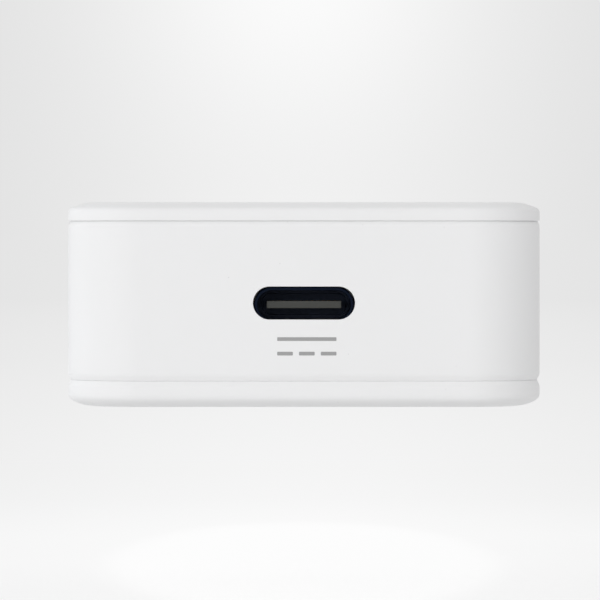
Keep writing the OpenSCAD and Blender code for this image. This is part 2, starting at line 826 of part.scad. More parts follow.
// Spool around the middle post, with a pin bar at each open side of the core
module transformer_bobbin() {
  color("#2b2b2b") translate([0, xf_y, 0]) {
    translate([0, 0, spool_z]) difference() {
      union() {
        cylinder(r = post_core_r + 0.5, h = spool_h);
        for (z = [0, spool_h - flange_t]) translate([0, 0, z]) cylinder(r = winding_r, h = flange_t);
        translate([-3, -bar_y, 0]) cube([6, 2 * bar_y, flange_t]);
      }
      translate([0, 0, -cut]) cylinder(r = post_core_r + 0.05, h = spool_h + 2 * cut);
    }
    for (s = [-1, 1]) pin_bar(s);
  }
}

module pin_bar(s) {
  translate([0, s * bar_y, board_top]) difference() {
    translate([-5, -pin_bar_d / 2, 0]) cube([10, pin_bar_d, core_lift + core_plate + flange_t]);
    for (x = [-1.5, -0.5, 0.5, 1.5])
      translate([x * pin_pitch, 0, -cut]) cylinder(r = pin_r, h = 1.5 + cut);
  }
}

module transformer_winding() {
  color("gold") translate([0, xf_y, 0])
    ring(winding_r - 0.2, post_core_r + 0.5, spool_h - 2 * flange_t, core_z + core_h / 2);
}

module transformer_tape() {
  t = 0.12;
  tape_h = spool_h - 2 * flange_t - 0.2;
  color("khaki") translate([0, xf_y, core_z + core_h / 2]) difference() {
    cube([core_w + 2 * t, core_d + 2 * t, tape_h], center = true);
    cube([core_w, core_d, core_h], center = true);
  }
}

module transformer_pins() {
  color("silver") for (p = transformer_holes)
    translate([p[0], p[1], board_z - pin_drop]) cylinder(r = pin_r, h = board_t + pin_drop + 1.5);
}

// ---------- low-voltage side ----------

module optocoupler() {
  place = [0, xf_y + 3.6];
  color("#e8e4da") {
    under_chip(place, opto_size);
    chip_leads(place, opto_reach, 2, 2.4, board_z - chip_lead_t);
  }
}

module sync_rectifier() {
  place = [-output_x - 0.6, output_y];
  color("#222222") {
    under_chip(place, rectifier_size);
    chip_leads(place, rectifier_reach, 4, 1.27, board_z - chip_lead_t);
  }
}

module pd_controller() {
  color("#222222") under_chip([0, xf_y - 3.5], pd_size);
}

module output_switch() {
  color("#222222") under_chip([output_x, output_y], switch_size);
}

module output_capacitors() {
  color("silver") for (s = [-1, 1])
    translate([s * output_x, output_y, board_top + output_base_t]) cylinder(r = output_r, h = output_h);
}

module output_capacitor_bases() {
  side = 2 * output_r + 0.3;
  color("#222222") for (s = [-1, 1])
    translate([s * output_x - side / 2, output_y - side / 2, board_top]) cube([side, side, output_base_t]);
}

module chip_capacitors() {
  color("burlywood") {
    for (s = [-1, 1], i = [0 : 2]) under_chip(
      [s * (usb_w / 2 + port_chip_out), usb_front + port_chip_setback + i * port_chip_pitch],
      port_chip_size
    );
    for (i = [-1 : 1]) under_chip([i * snub_chip_pitch, xf_y - 0.2], snub_chip_size);
  }
}

module chip_resistors() {
  color("#2d2d2d") {
    for (i = [0 : 3])
      top_chip([-board_w / 2 + 1.5, bay_rear + 1.2 + i * resistor_pitch], resistor_size);
    for (i = [0 : 2])
      under_chip([output_x + 3.4 + i * resistor_pitch, usb_rear - 0.2], resistor_size);
  }
}

// ---------- heat path and isolation ----------

module heat_spreader() {
  color("lightsteelblue") span_box(
    [-post_x + tube_r + 0.7, barrier_y + 1.2, spreader_z],
    [post_x - tube_r - 0.7, post_y - tube_r - 1.2, shell_top]
  );
}

module thermal_pad() {
  color("lightpink") span_box(
    [-core_w / 2 + 1, xf_y - core_d / 2 + 1, core_top],
    [core_w / 2 - 1, xf_y + core_d / 2 - 1, spreader_z]
  );
}

module isolation_barrier() {
  color("lightyellow") span_box(
    [-board_w / 2 + 1.6, barrier_y, board_top],
    [board_w / 2 - 1.6, barrier_y + barrier_t, shell_top - lip_reach - 0.2]
  );
}

bottom_cover();
body_shell();
top_cover();
hub_retainer();
retainer_screws();
plug_hub();
line_blade();
neutral_blade();
detent_spring();
line_contact();
neutral_contact();
main_board();
usb_shell();
usb_tongue();
usb_contacts();
usb_insulator();
fuse();
fuse_leads();
varistor();
choke_core();
choke_windings();
filter_inductor();
filter_winding();
bridge_rectifier();
bulk_capacitor_left();
bulk_capacitor_right();
capacitor_bungs();
capacitor_leads();
primary_controller();
snubber_diode();
transformer_core_lower();
transformer_core_upper();
transformer_bobbin();
transformer_winding();
transformer_tape();
transformer_pins();
y_capacitor();
optocoupler();
sync_rectifier();
pd_controller();
output_switch();
output_capacitors();
output_capacitor_bases();
chip_capacitors();
chip_resistors();
heat_spreader();
thermal_pad();
isolation_barrier();
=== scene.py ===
# %% [markdown]
# # A slim wall charger with a fold-away plug
#
# The charger is a white plastic box, about 43 mm wide and 18 mm high, with one socket in its front face.
# Two mains blades fold into its underside. Its construction comes ready made: every size, the hinge, and
# all the parts inside. This lesson models what the eye meets, which is the three-piece housing with its
# fine grooves, the dark socket, the plug and the printed mark, and gives every part its finish.
#
# The construction is loaded first, so that each new piece can take its size and place from it.

# %% Load the construction
import json
from math import atan, cos, pi, sin

import bmesh
import bpy
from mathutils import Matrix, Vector


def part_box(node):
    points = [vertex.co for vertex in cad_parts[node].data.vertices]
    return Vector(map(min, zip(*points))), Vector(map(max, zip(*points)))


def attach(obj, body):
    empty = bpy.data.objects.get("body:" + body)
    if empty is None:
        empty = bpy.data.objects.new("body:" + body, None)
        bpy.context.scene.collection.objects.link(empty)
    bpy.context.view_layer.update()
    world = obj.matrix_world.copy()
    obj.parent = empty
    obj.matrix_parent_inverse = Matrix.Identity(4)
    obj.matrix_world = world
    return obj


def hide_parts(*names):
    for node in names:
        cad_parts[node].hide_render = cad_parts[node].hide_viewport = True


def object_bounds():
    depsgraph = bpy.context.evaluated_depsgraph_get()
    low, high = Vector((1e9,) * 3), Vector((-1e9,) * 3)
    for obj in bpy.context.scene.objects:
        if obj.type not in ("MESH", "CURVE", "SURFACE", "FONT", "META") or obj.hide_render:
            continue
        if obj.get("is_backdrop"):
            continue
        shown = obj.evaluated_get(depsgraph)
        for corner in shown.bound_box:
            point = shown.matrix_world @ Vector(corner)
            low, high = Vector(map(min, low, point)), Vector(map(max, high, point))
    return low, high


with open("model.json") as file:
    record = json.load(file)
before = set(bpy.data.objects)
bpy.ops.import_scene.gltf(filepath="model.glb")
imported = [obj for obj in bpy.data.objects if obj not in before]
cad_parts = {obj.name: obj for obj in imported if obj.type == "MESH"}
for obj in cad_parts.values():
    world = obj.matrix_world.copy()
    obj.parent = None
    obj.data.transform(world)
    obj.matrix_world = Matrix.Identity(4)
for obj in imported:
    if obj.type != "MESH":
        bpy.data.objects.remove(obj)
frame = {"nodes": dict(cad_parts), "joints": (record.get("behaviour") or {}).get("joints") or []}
cad_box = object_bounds()
MM = 0.001
low, high = cad_box
width, depth, height = (high - low) / MM
print(f"Construction: {len(frame['nodes'])} parts in a box of {width:.1f} x {depth:.1f} x {height:.1f} mm")

# %% [markdown]
# ## The camera
#
# Small products are photographed from far away with a long lens, so that their sides stay parallel. The
# camera here stands half a metre in front of the socket, a little above the charger's middle, and looks
# down by less than a degree. The lens follows from the width that the picture shows at the front face.
# A lens shift could lift the picture as well, but a tilt keeps the camera usable from other sides.

# %% Set up the camera
camera_distance = 520 * MM
camera_height = 15.5 * MM
view_width = 53.7 * MM
aim = Vector((-0.36 * MM, low.y, 9.65 * MM))

camera = bpy.data.objects.new("camera", bpy.data.cameras.new("camera"))
bpy.context.scene.collection.objects.link(camera)
bpy.context.scene.camera = camera
camera.location = (aim.x, low.y - camera_distance, camera_height)
camera.rotation_euler = (pi / 2 - atan((camera_height - aim.z) / camera_distance), 0, 0)
camera.data.sensor_width = 36
camera.data.lens = camera.data.sensor_width * camera_distance / view_width
camera.data.clip_start = 10 * MM
camera.data.clip_end = 100
print(f"Camera: {camera.data.lens:.0f} mm lens, {camera_distance:.2f} m away")

# %% [markdown]
# ## Working by hand, in code
#
# Every new piece starts as a primitive and is shaped in edit mode, as it would be with a mouse. An
# operator acts on all that is selected, so the selection is always made first. By hand that is a click.
# In code it is a test on each face's or edge's place and direction, and these few helpers hold it.

# %% Helpers for selecting
def only(piece):
    """Leaves piece as the one selected object"""
    bpy.ops.object.select_all(action="DESELECT")
    piece.select_set(True)
    bpy.context.view_layer.objects.active = piece
    return piece


def edit(piece):
    only(piece)
    bpy.ops.object.mode_set(mode="EDIT")


def close():
    bpy.ops.object.mode_set(mode="OBJECT")


def pick(kind, test):
    """Selects the faces or edges of the piece being edited for which test is true, and counts them"""
    bpy.ops.mesh.select_mode(type=kind)
    bpy.ops.mesh.select_all(action="DESELECT")
    mesh = bmesh.from_edit_mesh(bpy.context.edit_object.data)
    chosen = [item for item in (mesh.faces if kind == "FACE" else mesh.edges) if test(item)]
    for item in chosen:
        item.select_set(True)
    bmesh.update_edit_mesh(bpy.context.edit_object.data)
    return len(chosen)


def facing(*direction):
    """A test for flat faces that look in one direction"""
    return lambda face: face.normal.dot(Vector(direction)) > 0.999


def along(axis):
    """A test for edges that run along axis 0, 1 or 2"""
    def test(edge):
        run = edge.verts[1].co - edge.verts[0].co
        return abs(run[axis]) > 0.999 * run.length
    return test


bpy.ops.object.select_all(action="DESELECT")
print(f"Selected to begin with: {len(bpy.context.selected_objects)} objects")

# %% [markdown]
# A primitive is added at its size and place, and its place is moved into its mesh at once, so that every
# piece sits at the origin as the construction's own parts do.

# %% Helpers for starting a piece
def block(name, corner_a, corner_b):
    """A box between two opposite corners, in millimetres"""
    a, b = Vector(corner_a) * MM, Vector(corner_b) * MM
    bpy.ops.mesh.primitive_cube_add(size=1, location=(a + b) / 2, scale=b - a)
    bpy.ops.object.transform_apply(location=True, rotation=True, scale=True)
    bpy.context.object.name = name
    return bpy.context.object


def rod(name, radius, start, end, axis="Z", sides=64):
    """A cylinder along the X or Z axis between two points, in millimetres"""
    a, b = Vector(start) * MM, Vector(end) * MM
    turn = (0, pi / 2, 0) if axis == "X" else (0, 0, 0)
    bpy.ops.mesh.primitive_cylinder_add(
        vertices=sides, radius=radius * MM, depth=(b - a).length, location=(a + b) / 2, rotation=turn
    )
    bpy.ops.object.transform_apply(location=True, rotation=True, scale=True)
    bpy.context.object.name = name
    return bpy.context.object


def bevel(width, steps):
    """Rounds the selected edges in some steps, or chamfers them in one, over a width in millimetres"""
    bpy.ops.mesh.bevel(offset=width * MM, segments=steps)


def round_corners(radius, axis, steps=24):
    """Rounds the edges of a box that run along axis"""
    pick("EDGE", along(axis))
    bevel(radius, steps)


def copy_of(piece, shift):
    """A copy of piece with its own mesh, shifted in millimetres"""
    other = piece.copy()
    other.data = piece.data.copy()
    bpy.context.scene.collection.objects.link(other)
    edit(other)
    bpy.ops.mesh.select_all(action="SELECT")
    bpy.ops.transform.translate(value=Vector(shift) * MM)
    close()
    return other

# %% [markdown]
# ## How the housing gets its profile
#
# The top cover, the body and the bottom cover share one outline, a rectangle with round corners. What
# makes them different is the section of their edges: a wide chamfer on top, a V-groove at each joint and
# a soft rounding below. Such an edge could be modelled as a cross-section swept round the outline. It is
# easier to start from a plain block and to walk its flat end face along the section: an inset takes the
# face inwards, its depth lifts it, and an extrusion takes it straight out. The walls follow by themselves.
#
# No moulded edge is perfectly sharp, so each corner of the section is eased by a short curve.

# %% Helpers for walking an end face along a section
TINY = 1e-7
EASE_STEPS = 4


def eased(corners):
    """A path through [inwards, outwards, easing] corners; an easing is the length cut off a corner"""
    points = [Vector(corner[:2]) for corner in corners]
    easings = [corner[2] for corner in corners[1:-1]]
    path = [points[0]]
    for before, corner, after, easing in zip(points, points[1:], points[2:], easings):
        if not easing:
            path.append(corner)
            continue
        arrive = corner + (before - corner).normalized() * easing
        leave = corner + (after - corner).normalized() * easing
        for i in range(EASE_STEPS + 1):
            t = i / EASE_STEPS
            path.append(arrive.lerp(corner, t).lerp(corner.lerp(leave, t), t))
    path.append(points[-1])
    return path


def walk(path, direction):
    """Takes the selected end face along a path of [inwards, outwards] points, in millimetres"""
    for start, end in zip(path, path[1:]):
        inwards, outwards = (Vector(end) - Vector(start)) * MM
        if abs(inwards) + abs(outwards) < TINY:
            continue
        if inwards > TINY:
            bpy.ops.mesh.inset(thickness=inwards, depth=outwards)
        else:
            move = Vector(direction) * outwards
            bpy.ops.mesh.extrude_region_move(TRANSFORM_OT_translate={"value": move})


print(f"A corner eased by 0.1 mm becomes {len(eased([(0, 0), (0, 1, 0.1), (1, 1)])) - 2} points")

# %% [markdown]
# Forms are joined and cut with a Boolean modifier that is applied at once, so that the next step finds
# plain faces to select. A tube is opened by bridging its two end faces, which the outline's many corners
# tell from all others. Cuts can leave slivers thinner than a hair, so a finished mesh is welded first.
# Shading comes last. Curves are shaded as curves by the angle between their faces, and weighted normals
# let a large flat face keep its flat shade up to the small easings at its edges. A finished piece is then
# told which body it moves with, and which part of the construction it stands for.

# %% Helpers for finishing a mesh
CURVE_ANGLE = 0.5


def apply(piece, kind, **settings):
    """Adds a modifier with its settings to piece, and applies it at once"""
    modifier = piece.modifiers.new(kind.lower(), kind)
    for name, setting in settings.items():
        setattr(modifier, name, setting)
    only(piece)
    bpy.ops.object.modifier_apply(modifier=modifier.name)


def combine(piece, tool, operation):
    """Joins tool into piece, cuts piece with it or keeps what both share, and removes tool"""
    apply(piece, "BOOLEAN", operation=operation, solver="EXACT", object=tool)
    bpy.data.objects.remove(tool)


def ease_edges(piece, width, segments):
    """Rounds all sharp edges of piece"""
    apply(piece, "BEVEL", width=width * MM, segments=segments, limit_method="ANGLE")


def open_ends(axis):
    """Bridges the two end faces that look along axis 0, 1 or 2, which turns a walled block into a tube"""
    pick("FACE", lambda face: abs(face.normal[axis]) > 0.999 and len(face.verts) > 40)
    bpy.ops.mesh.bridge_edge_loops()


def weld():
    """Merges points of the piece being edited that lie less than a thousandth of a millimetre apart"""
    bpy.ops.mesh.select_all(action="SELECT")
    bpy.ops.mesh.remove_doubles(threshold=0.001 * MM)


def smooth(piece):
    """Clears slivers away, then shades curves as curves and flat faces as flat"""
    edit(piece)
    weld()
    bpy.ops.mesh.dissolve_degenerate(threshold=0.001 * MM)
    close()
    bpy.ops.object.shade_smooth_by_angle(angle=CURVE_ANGLE)
    apply(piece, "WEIGHTED_NORMAL", keep_sharp=True)


def seat(piece, body, slot, *nodes):
    """Lets piece stand for its part of the construction and move with its body"""
    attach(piece, body)
    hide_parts(*nodes)
    print(f"{piece.name}: {len(piece.data.polygons)} faces")

# %% [markdown]
# ## The top cover
#
# The top cover is a shallow lid. A chamfer 1.7 mm wide runs round its upper edge, and its lower edge is
# crisp, because it makes the dark line of the upper groove: a tiny drip edge hides the joint behind it.
# Underneath, a lip keys into the body and four tubes press the circuit board down. The block starts as
# the band of wall between the two edges.

# %% Model the top cover
body_low, body_high = (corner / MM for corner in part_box("body_shell"))
corner_r = 6.5
wall = 1.5
lip_inset = wall + 0.1
lip_t = 1.0
lip_reach = 1.7
lip_ease = 0.15
half_w, half_d = width / 2, depth / 2


def outline_block(name, z0, z1):
    """A block with the housing's outline, open for editing"""
    piece = block(name, (-half_w, -half_d, z0), (half_w, half_d, z1))
    edit(piece)
    round_corners(corner_r, 2)
    return piece


chamfer_run = 1.66
chamfer_drop = 0.54
chamfer_ease = 0.3
rim_ease = 0.38
band = 0.4
drip = 0.1
drip_w = 0.14
drip_slope = 0.05
top_cover = outline_block("top_cover_shell", body_high.z + band, height - chamfer_drop - band)
pick("FACE", facing(0, 0, 1))
walk(eased([
    (0, 0), (0, band, rim_ease), (chamfer_run, band + chamfer_drop, chamfer_ease),
    (chamfer_run + 1, band + chamfer_drop),
]), (0, 0, 1))
pick("FACE", facing(0, 0, -1))
walk(eased([
    (0, 0), (0, band + drip, 0.05), (drip_w, band + drip, 0.03), (drip_w + drip_slope, band, 0),
    (lip_inset, band, 0), (lip_inset, band + lip_reach, lip_ease),
    (lip_inset + lip_t, band + lip_reach, 0), (lip_inset + lip_t, band),
]), (0, 0, -1))
close()
print(f"Top cover: {chamfer_run} mm wide chamfer, lip {lip_reach} mm deep")

# %% [markdown]
# Four tubes hang from the cover's ceiling and hold the board on its posts. Each is a rod whose lower
# face is walked inwards and then up, which leaves the blind hole that the post's pin enters. The rod
# overlaps the ceiling a little, because a union of two faces that only touch can fail.

# %% Add the tubes that hold the board down
board_low, board_high = (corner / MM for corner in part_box("main_board"))
post_inset = lip_inset + lip_t + 2.2
post_places = [(x, y) for x in (post_inset - half_w, half_w - post_inset)
               for y in (post_inset - half_d, half_d - post_inset)]
tube_r = 1.5
tube_wall = 0.7
bore_depth = 1.0
for x, y in post_places:
    hold_down = rod("hold_down", tube_r, (x, y, board_high.z), (x, y, body_high.z + 0.2), sides=40)
    edit(hold_down)
    pick("FACE", facing(0, 0, -1))
    walk([(0, 0), (tube_wall, 0), (tube_wall, -bore_depth)], (0, 0, -1))
    close()
    combine(top_cover, hold_down, "UNION")
smooth(top_cover)
seat(top_cover, "housing", "white_housing", "top_cover")

# %% [markdown]
# ## The body
#
# The body is a sleeve, open at both ends. Each end slopes in by a quarter of a millimetre, and with the
# cover's edge that slope makes the groove that runs round the charger. The edge where the slope meets the
# wall is rounded more than the others, so the light fades softly into the groove. Both ends of the block
# are walked along the same section, and bridging the two faces that are left opens the sleeve from end to
# end.

# %% Model the body sleeve
groove_depth = 0.25
groove_rise = 0.5
groove_ease = 0.2
seam_ease = 0.06
sleeve = outline_block("body_sleeve", body_low.z + groove_rise + band, body_high.z - groove_rise - band)
for end in (1, -1):
    pick("FACE", facing(0, 0, end))
    walk(eased([
        (0, 0), (0, band, groove_ease), (groove_depth, band + groove_rise, seam_ease),
        (wall, band + groove_rise),
    ]), (0, 0, end))
open_ends(2)
close()
print(f"Body sleeve: {len(sleeve.data.polygons)} faces, slopes {groove_depth} mm deep")

# %% [markdown]
# The socket's slot is cut with a stadium-shaped tool, as a steel core forms it in the mould. The tool
# flares at its front end, and leaves the slot with a finely rounded edge. A bevel after the cut would
# work too, but it depends on how the cut splits the face. Behind the slot, a square pocket takes the
# receptacle's front end.

# %% Cut the socket's slot
socket_low, socket_high = (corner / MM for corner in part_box("usb_shell"))
socket_z = (socket_low.z + socket_high.z) / 2
socket_h = socket_high.z - socket_low.z
socket_w = 8.94
slot_w = 9.13
slot_h = 2.95
slot_z = socket_z + 0.15
slot_ease = 0.07
pocket_gap = 0.25
past = 0.01


def stadium(name, w, h, z, y0, y1):
    """A block along Y whose sides are half round, open for editing"""
    piece = block(name, (-w / 2, y0, z - h / 2), (w / 2, y1, z + h / 2))
    edit(piece)
    round_corners(h / 2, 1, steps=20)
    weld()
    return piece


core = stadium(
    "core", slot_w + 2 * slot_ease, slot_h + 2 * slot_ease, slot_z, -half_d - 0.5, -half_d - past
)
pick("FACE", facing(0, 1, 0))
walk(eased([(0, 0), (slot_ease, 0, slot_ease), (slot_ease, wall + 1)]), (0, 1, 0))
close()
combine(sleeve, core, "DIFFERENCE")
pocket_half_w = socket_w / 2 + pocket_gap
pocket_half_h = socket_h / 2 + pocket_gap
pocket = block(
    "pocket", (-pocket_half_w, socket_low.y, socket_z - pocket_half_h),
    (pocket_half_w, -half_d + wall + 1, socket_z + pocket_half_h)
)
combine(sleeve, pocket, "DIFFERENCE")
smooth(sleeve)
seat(sleeve, "housing", "white_housing", "body_shell")

# %% [markdown]
# ## The bottom cover
#
# Seen from the front this is only a low band with a soft lower edge. That edge is close to a quarter of an
# ellipse, more than twice as wide as it is high. Sine and cosine draw it, and powers a little off 1 keep
# it fuller near the wall and take more off towards the foot. Inside, the cover carries the plug's wells
# and the board's posts.

# %% Model the cover's shell
base_run = 2.4
base_rise = 1.1
wall_power = 1.15
foot_power = 0.9
edge_band = 0.2
floor_t = 1.8
base_steps = 12


def base_edge(i):
    """Point i of the lower edge, counted from the wall, as how far in it lies and how far down"""
    angle = (pi / 2) * (1 - i / base_steps)
    inwards = base_run * (1 - sin(angle) ** wall_power)
    left_to_go = base_rise * (1 - cos(angle) ** foot_power)
    return inwards, edge_band + base_rise - left_to_go


cover_low = base_rise + edge_band
cover_high = body_low.z - groove_rise - edge_band
cover = outline_block("bottom_cover_shell", cover_low, cover_high)
pick("FACE", facing(0, 0, -1))
walk([(0, 0)] + [base_edge(i) for i in range(base_steps + 1)], (0, 0, -1))
pick("FACE", facing(0, 0, 1))
ledge = edge_band + groove_rise
lip_top = ledge + lip_reach
walk(eased([
    (0, 0), (0, edge_band, 0.15), (groove_depth, ledge, seam_ease), (lip_inset, ledge, 0),
    (lip_inset, lip_top, lip_ease),
    (lip_inset + lip_t, lip_top, 0), (lip_inset + lip_t, floor_t - cover_high),
]), (0, 0, 1))
close()
print(f"Lower edge: {base_steps} steps, {base_run} mm in and {base_rise} mm down")

# %% [markdown]
# The wells are unions of simple blocks and rods with the shell, in the order in which a toolmaker would
# build the mould: first all that stands up from the floor, then all that is cut away. Each of them starts
# half way down the floor's thickness, so that no two faces merely touch.

# %% Add the wells, bosses and posts
blade_low, blade_high = (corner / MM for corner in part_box("line_blade"))
hinge = Vector(frame["joints"][0]["pos_m"]) / MM
blade_x = (blade_low.x + blade_high.x) / 2
blade_w = blade_high.z - blade_low.z
root = floor_t / 2
slot_front = blade_low.y - 0.4
slot_top = blade_high.z + 0.3
pocket_front = hinge.y - 3.8
pocket_rear = hinge.y + 4.0
pocket_top = board_low.z - 0.8
well_half = 1.85
well_wall = 0.9
well_roof = 0.8
cradle_half = 11.7
screw_x = 13.3
boss_r = 2
post_r = 1.2
pin_step = 0.6
pin_h = 1.6


def add(part):
    combine(cover, part, "UNION")


for x in (-blade_x, blade_x):
    add(block(
        "well", (x - well_half, slot_front - well_wall, root),
        (x + well_half, pocket_front, slot_top + well_roof)
    ))
add(block(
    "cradle", (-cradle_half, pocket_front - well_wall, root),
    (cradle_half, pocket_rear + well_wall, pocket_top)
))
for x in (-screw_x, screw_x):
    add(rod("boss", boss_r, (x, hinge.y, root), (x, hinge.y, pocket_top), sides=48))
for x, y in post_places:
    post = rod("post", post_r, (x, y, root), (x, y, board_low.z), sides=40)
    edit(post)
    pick("FACE", facing(0, 0, 1))
    walk(eased([(0, 0), (pin_step, 0, 0), (pin_step, pin_h, 0.15), (pin_step + 0.2, pin_h)]), (0, 0, 1))
    close()
    add(post)
print(f"Bottom cover with its wells: {len(cover.data.polygons)} faces")

# %% [markdown]
# The finger scoop under the blades' tips is a rounded recess, just deep enough for a nail to reach under a
# folded blade. Its upright corners are bevelled first. Then the rim of its ceiling takes a fillet, which
# suits a finger tip and lets the cover slip off the mould. The same form, grown by a millimetre, is added
# before it, as the wall behind the recess.

# %% Cut the scoop, the blades' slots and the hub's pocket
scoop_w = 19.4
scoop_len = 8.6
scoop_depth = 2.9
scoop_corner = 2.5
scoop_fillet = 1.3
slot_half = 1.05
slot_corner = 0.25
mouth_half = 3.45
mouth_top = 1.2
mouth_corner = 0.35
pocket_half = 8.9
pocket_floor = 1
backing_t = 1
below, above_all = -1, 9


def cut(part):
    combine(cover, part, "DIFFERENCE")


def scoop_tool(name, bottom, extra):
    """The scoop's form from bottom up, grown by extra"""
    x, y, top = scoop_w / 2 + extra, scoop_len / 2 + extra, scoop_depth + extra
    tool = block(name, (-x, slot_front - y, bottom), (x, slot_front + y, top))
    edit(tool)
    round_corners(scoop_corner + extra, 2, steps=12)
    pick("EDGE", lambda edge: all(vertex.co.z > (top - 0.01) * MM for vertex in edge.verts))
    bevel(scoop_fillet, 8)
    close()
    return tool


def rounded(part, radius, steps):
    """A block with its upright edges rounded"""
    edit(part)
    round_corners(radius, 2, steps=steps)
    close()
    return part


add(scoop_tool("backing", root, backing_t))
for x in (-blade_x, blade_x):
    slot = block("slot", (x - slot_half, slot_front, below), (x + slot_half, hinge.y, slot_top))
    cut(rounded(slot, slot_corner, 5))
mouth = block(
    "mouth", (-pocket_half, hinge.y - mouth_half, below), (pocket_half, hinge.y + mouth_half, mouth_top)
)
cut(rounded(mouth, mouth_corner, 6))
cut(block("pocket", (-pocket_half, pocket_front, pocket_floor), (pocket_half, pocket_rear, above_all)))
cut(scoop_tool("scoop", below, 0))
print(f"Bottom cover with its openings: {len(cover.data.polygons)} faces")

# %% [markdown]
# Where the openings break through the flat underside, their edges are sharp. A small bevel on just those
# edges, which lie in the underside's plane and have a wall on one side, takes the sharpness off.

# %% Ease the openings' edges
reach_x, reach_y = 18, 19
opening_ease = 0.12


def opening_edge(edge):
    """True on the rim of an opening in the underside"""
    flat = all(abs(vertex.co.z) < 0.001 * MM for vertex in edge.verts)
    inside = all(abs(v.co.x) < reach_x * MM and abs(v.co.y) < reach_y * MM for v in edge.verts)
    return flat and inside and any(face.normal.z > -0.99 for face in edge.link_faces)


edit(cover)
rims = pick("EDGE", opening_edge)
bevel(opening_ease, 3)
close()
smooth(cover)
seat(cover, "housing", "white_housing", "bottom_cover")
print(f"Eased {rims} rim edges")

# %% [markdown]
# ## The plug's hub
#
# The hub is a moulded barrel that holds both blades and turns on two trunnions. A cam on its middle clicks
# against a leaf spring. The barrel is a rod whose ends are walked inwards to the trunnions, the cam is what
# a slightly larger rod shares with a block, and two grooves run round the barrel beside each blade, where
# the mould grips the blade while the plastic is shot round it.

# %% Model the hub
barrel_r = 3.15
barrel_half = 8.6
barrel_step = 0.3
trunnion_r = 1.6
trunnion_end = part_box("plug_hub")[1].x / MM
cam_rise = 0.35
cam_half_len = 2.5
cam_half_w = barrel_r - 0.06
groove_half = 0.15
groove_floor_r = 2.98
groove_off = 1.35
ring_r = 4


def hub_rod(name, radius, x0, x1):
    """A rod on the hinge's axis"""
    return rod(name, radius, (x0, hinge.y, hinge.z), (x1, hinge.y, hinge.z), axis="X", sides=96)


hub = hub_rod("hub_barrel", barrel_r, barrel_step - barrel_half, barrel_half - barrel_step)
edit(hub)
for end in (-1, 1):
    pick("FACE", facing(end, 0, 0))
    walk(eased([
        (0, 0), (0, barrel_step, 0.25), (barrel_r - trunnion_r, barrel_step, 0.1),
        (barrel_r - trunnion_r, trunnion_end - barrel_half + barrel_step, 0.2),
        (barrel_r - 0.4, trunnion_end - barrel_half + barrel_step),
    ]), (end, 0, 0))
close()
cam = hub_rod("cam", barrel_r + cam_rise, -cam_half_len, cam_half_len)
arc = block("arc", (-3, hinge.y - cam_half_w, hinge.z + 0.01), (3, hinge.y + cam_half_w, hinge.z + 4))
combine(cam, arc, "INTERSECT")
combine(hub, cam, "UNION")
for side in (-1, 1):
    for x in (side * blade_x - groove_off, side * blade_x + groove_off):
        ring = hub_rod("ring", ring_r, x - groove_half, x + groove_half)
        combine(ring, hub_rod("hole", groove_floor_r, x - 1, x + 1), "DIFFERENCE")
        combine(hub, ring, "DIFFERENCE")
print(f"Hub: {len(hub.data.polygons)} faces, hinge {hinge.z:.2f} mm above the underside")

# %% [markdown]
# ## The blades
#
# Each blade is stamped from flat strip: a full round root inside the hub, a hole near the tip, and a
# chamfered tip that finds its way into an outlet. The round root is a bevel as large as half the blade's
# width. The rounded edges come from a Bevel modifier, which finds every sharp edge by its angle. The hub's
# seats are cut with the same outline, a hundredth of a millimetre thicker on each side.

# %% Model one blade and copy it
tip_chamfer = 1.4
tip_bevel = 0.3
blade_ease = 0.14
seat_gap = 0.01
hole_r = 1.6
hole_from_tip = 5.3


def blade_plate(name, x, extra=0):
    """A blade's outline at x, thicker by extra on each side, open for editing"""
    half_t = (blade_high.x - blade_low.x) / 2 + extra
    piece = block(name, (x - half_t, blade_low.y, blade_low.z), (x + half_t, blade_high.y, blade_high.z))
    edit(piece)
    pick("EDGE", lambda edge: along(0)(edge) and edge.verts[0].co.y > hinge.y * MM)
    bevel(blade_w / 2, 32)
    weld()
    pick("EDGE", lambda edge: along(0)(edge) and edge.verts[0].co.y < (blade_low.y + 0.1) * MM)
    bevel(tip_chamfer, 1)
    return piece


def at_tip(edge):
    """True for an edge of one of the blade's flat sides at the tip"""
    near = all(vertex.co.y < (blade_low.y + tip_chamfer + 0.1) * MM for vertex in edge.verts)
    return near and not along(0)(edge)


for x in (-blade_x, blade_x):
    seat_tool = blade_plate("seat_tool", x, seat_gap)
    close()
    combine(hub, seat_tool, "DIFFERENCE")
smooth(hub)
seat(hub, "plug", "white_hub", "plug_hub")

blade = blade_plate("line_blade_plate", blade_x)
pick("EDGE", at_tip)
bevel(tip_bevel, 2)
close()
tip_hole = Vector((0, blade_low.y + hole_from_tip, hinge.z))
across = Vector((blade_x + 2, 0, 0))
combine(blade, rod("hole", hole_r, tip_hole + across / 4, tip_hole + across, axis="X"), "DIFFERENCE")
ease_edges(blade, blade_ease, 3)
smooth(blade)
neutral = copy_of(blade, (-2 * blade_x, 0, 0))
neutral.name = "neutral_blade_plate"
seat(blade, "plug", "nickel_blade", "line_blade")
seat(neutral, "plug", "nickel_blade", "neutral_blade")

# %% [markdown]
# ## The socket
#
# The receptacle is a flattened steel tube with a thin plastic tongue on its axis. From the front only
# the tongue's end shows, as a grey bar in a black hole, so the tube is dark plated and the moulding at its
# back is black. The tube's wall is a walk as well: its rim is eased, and bridging opens it.

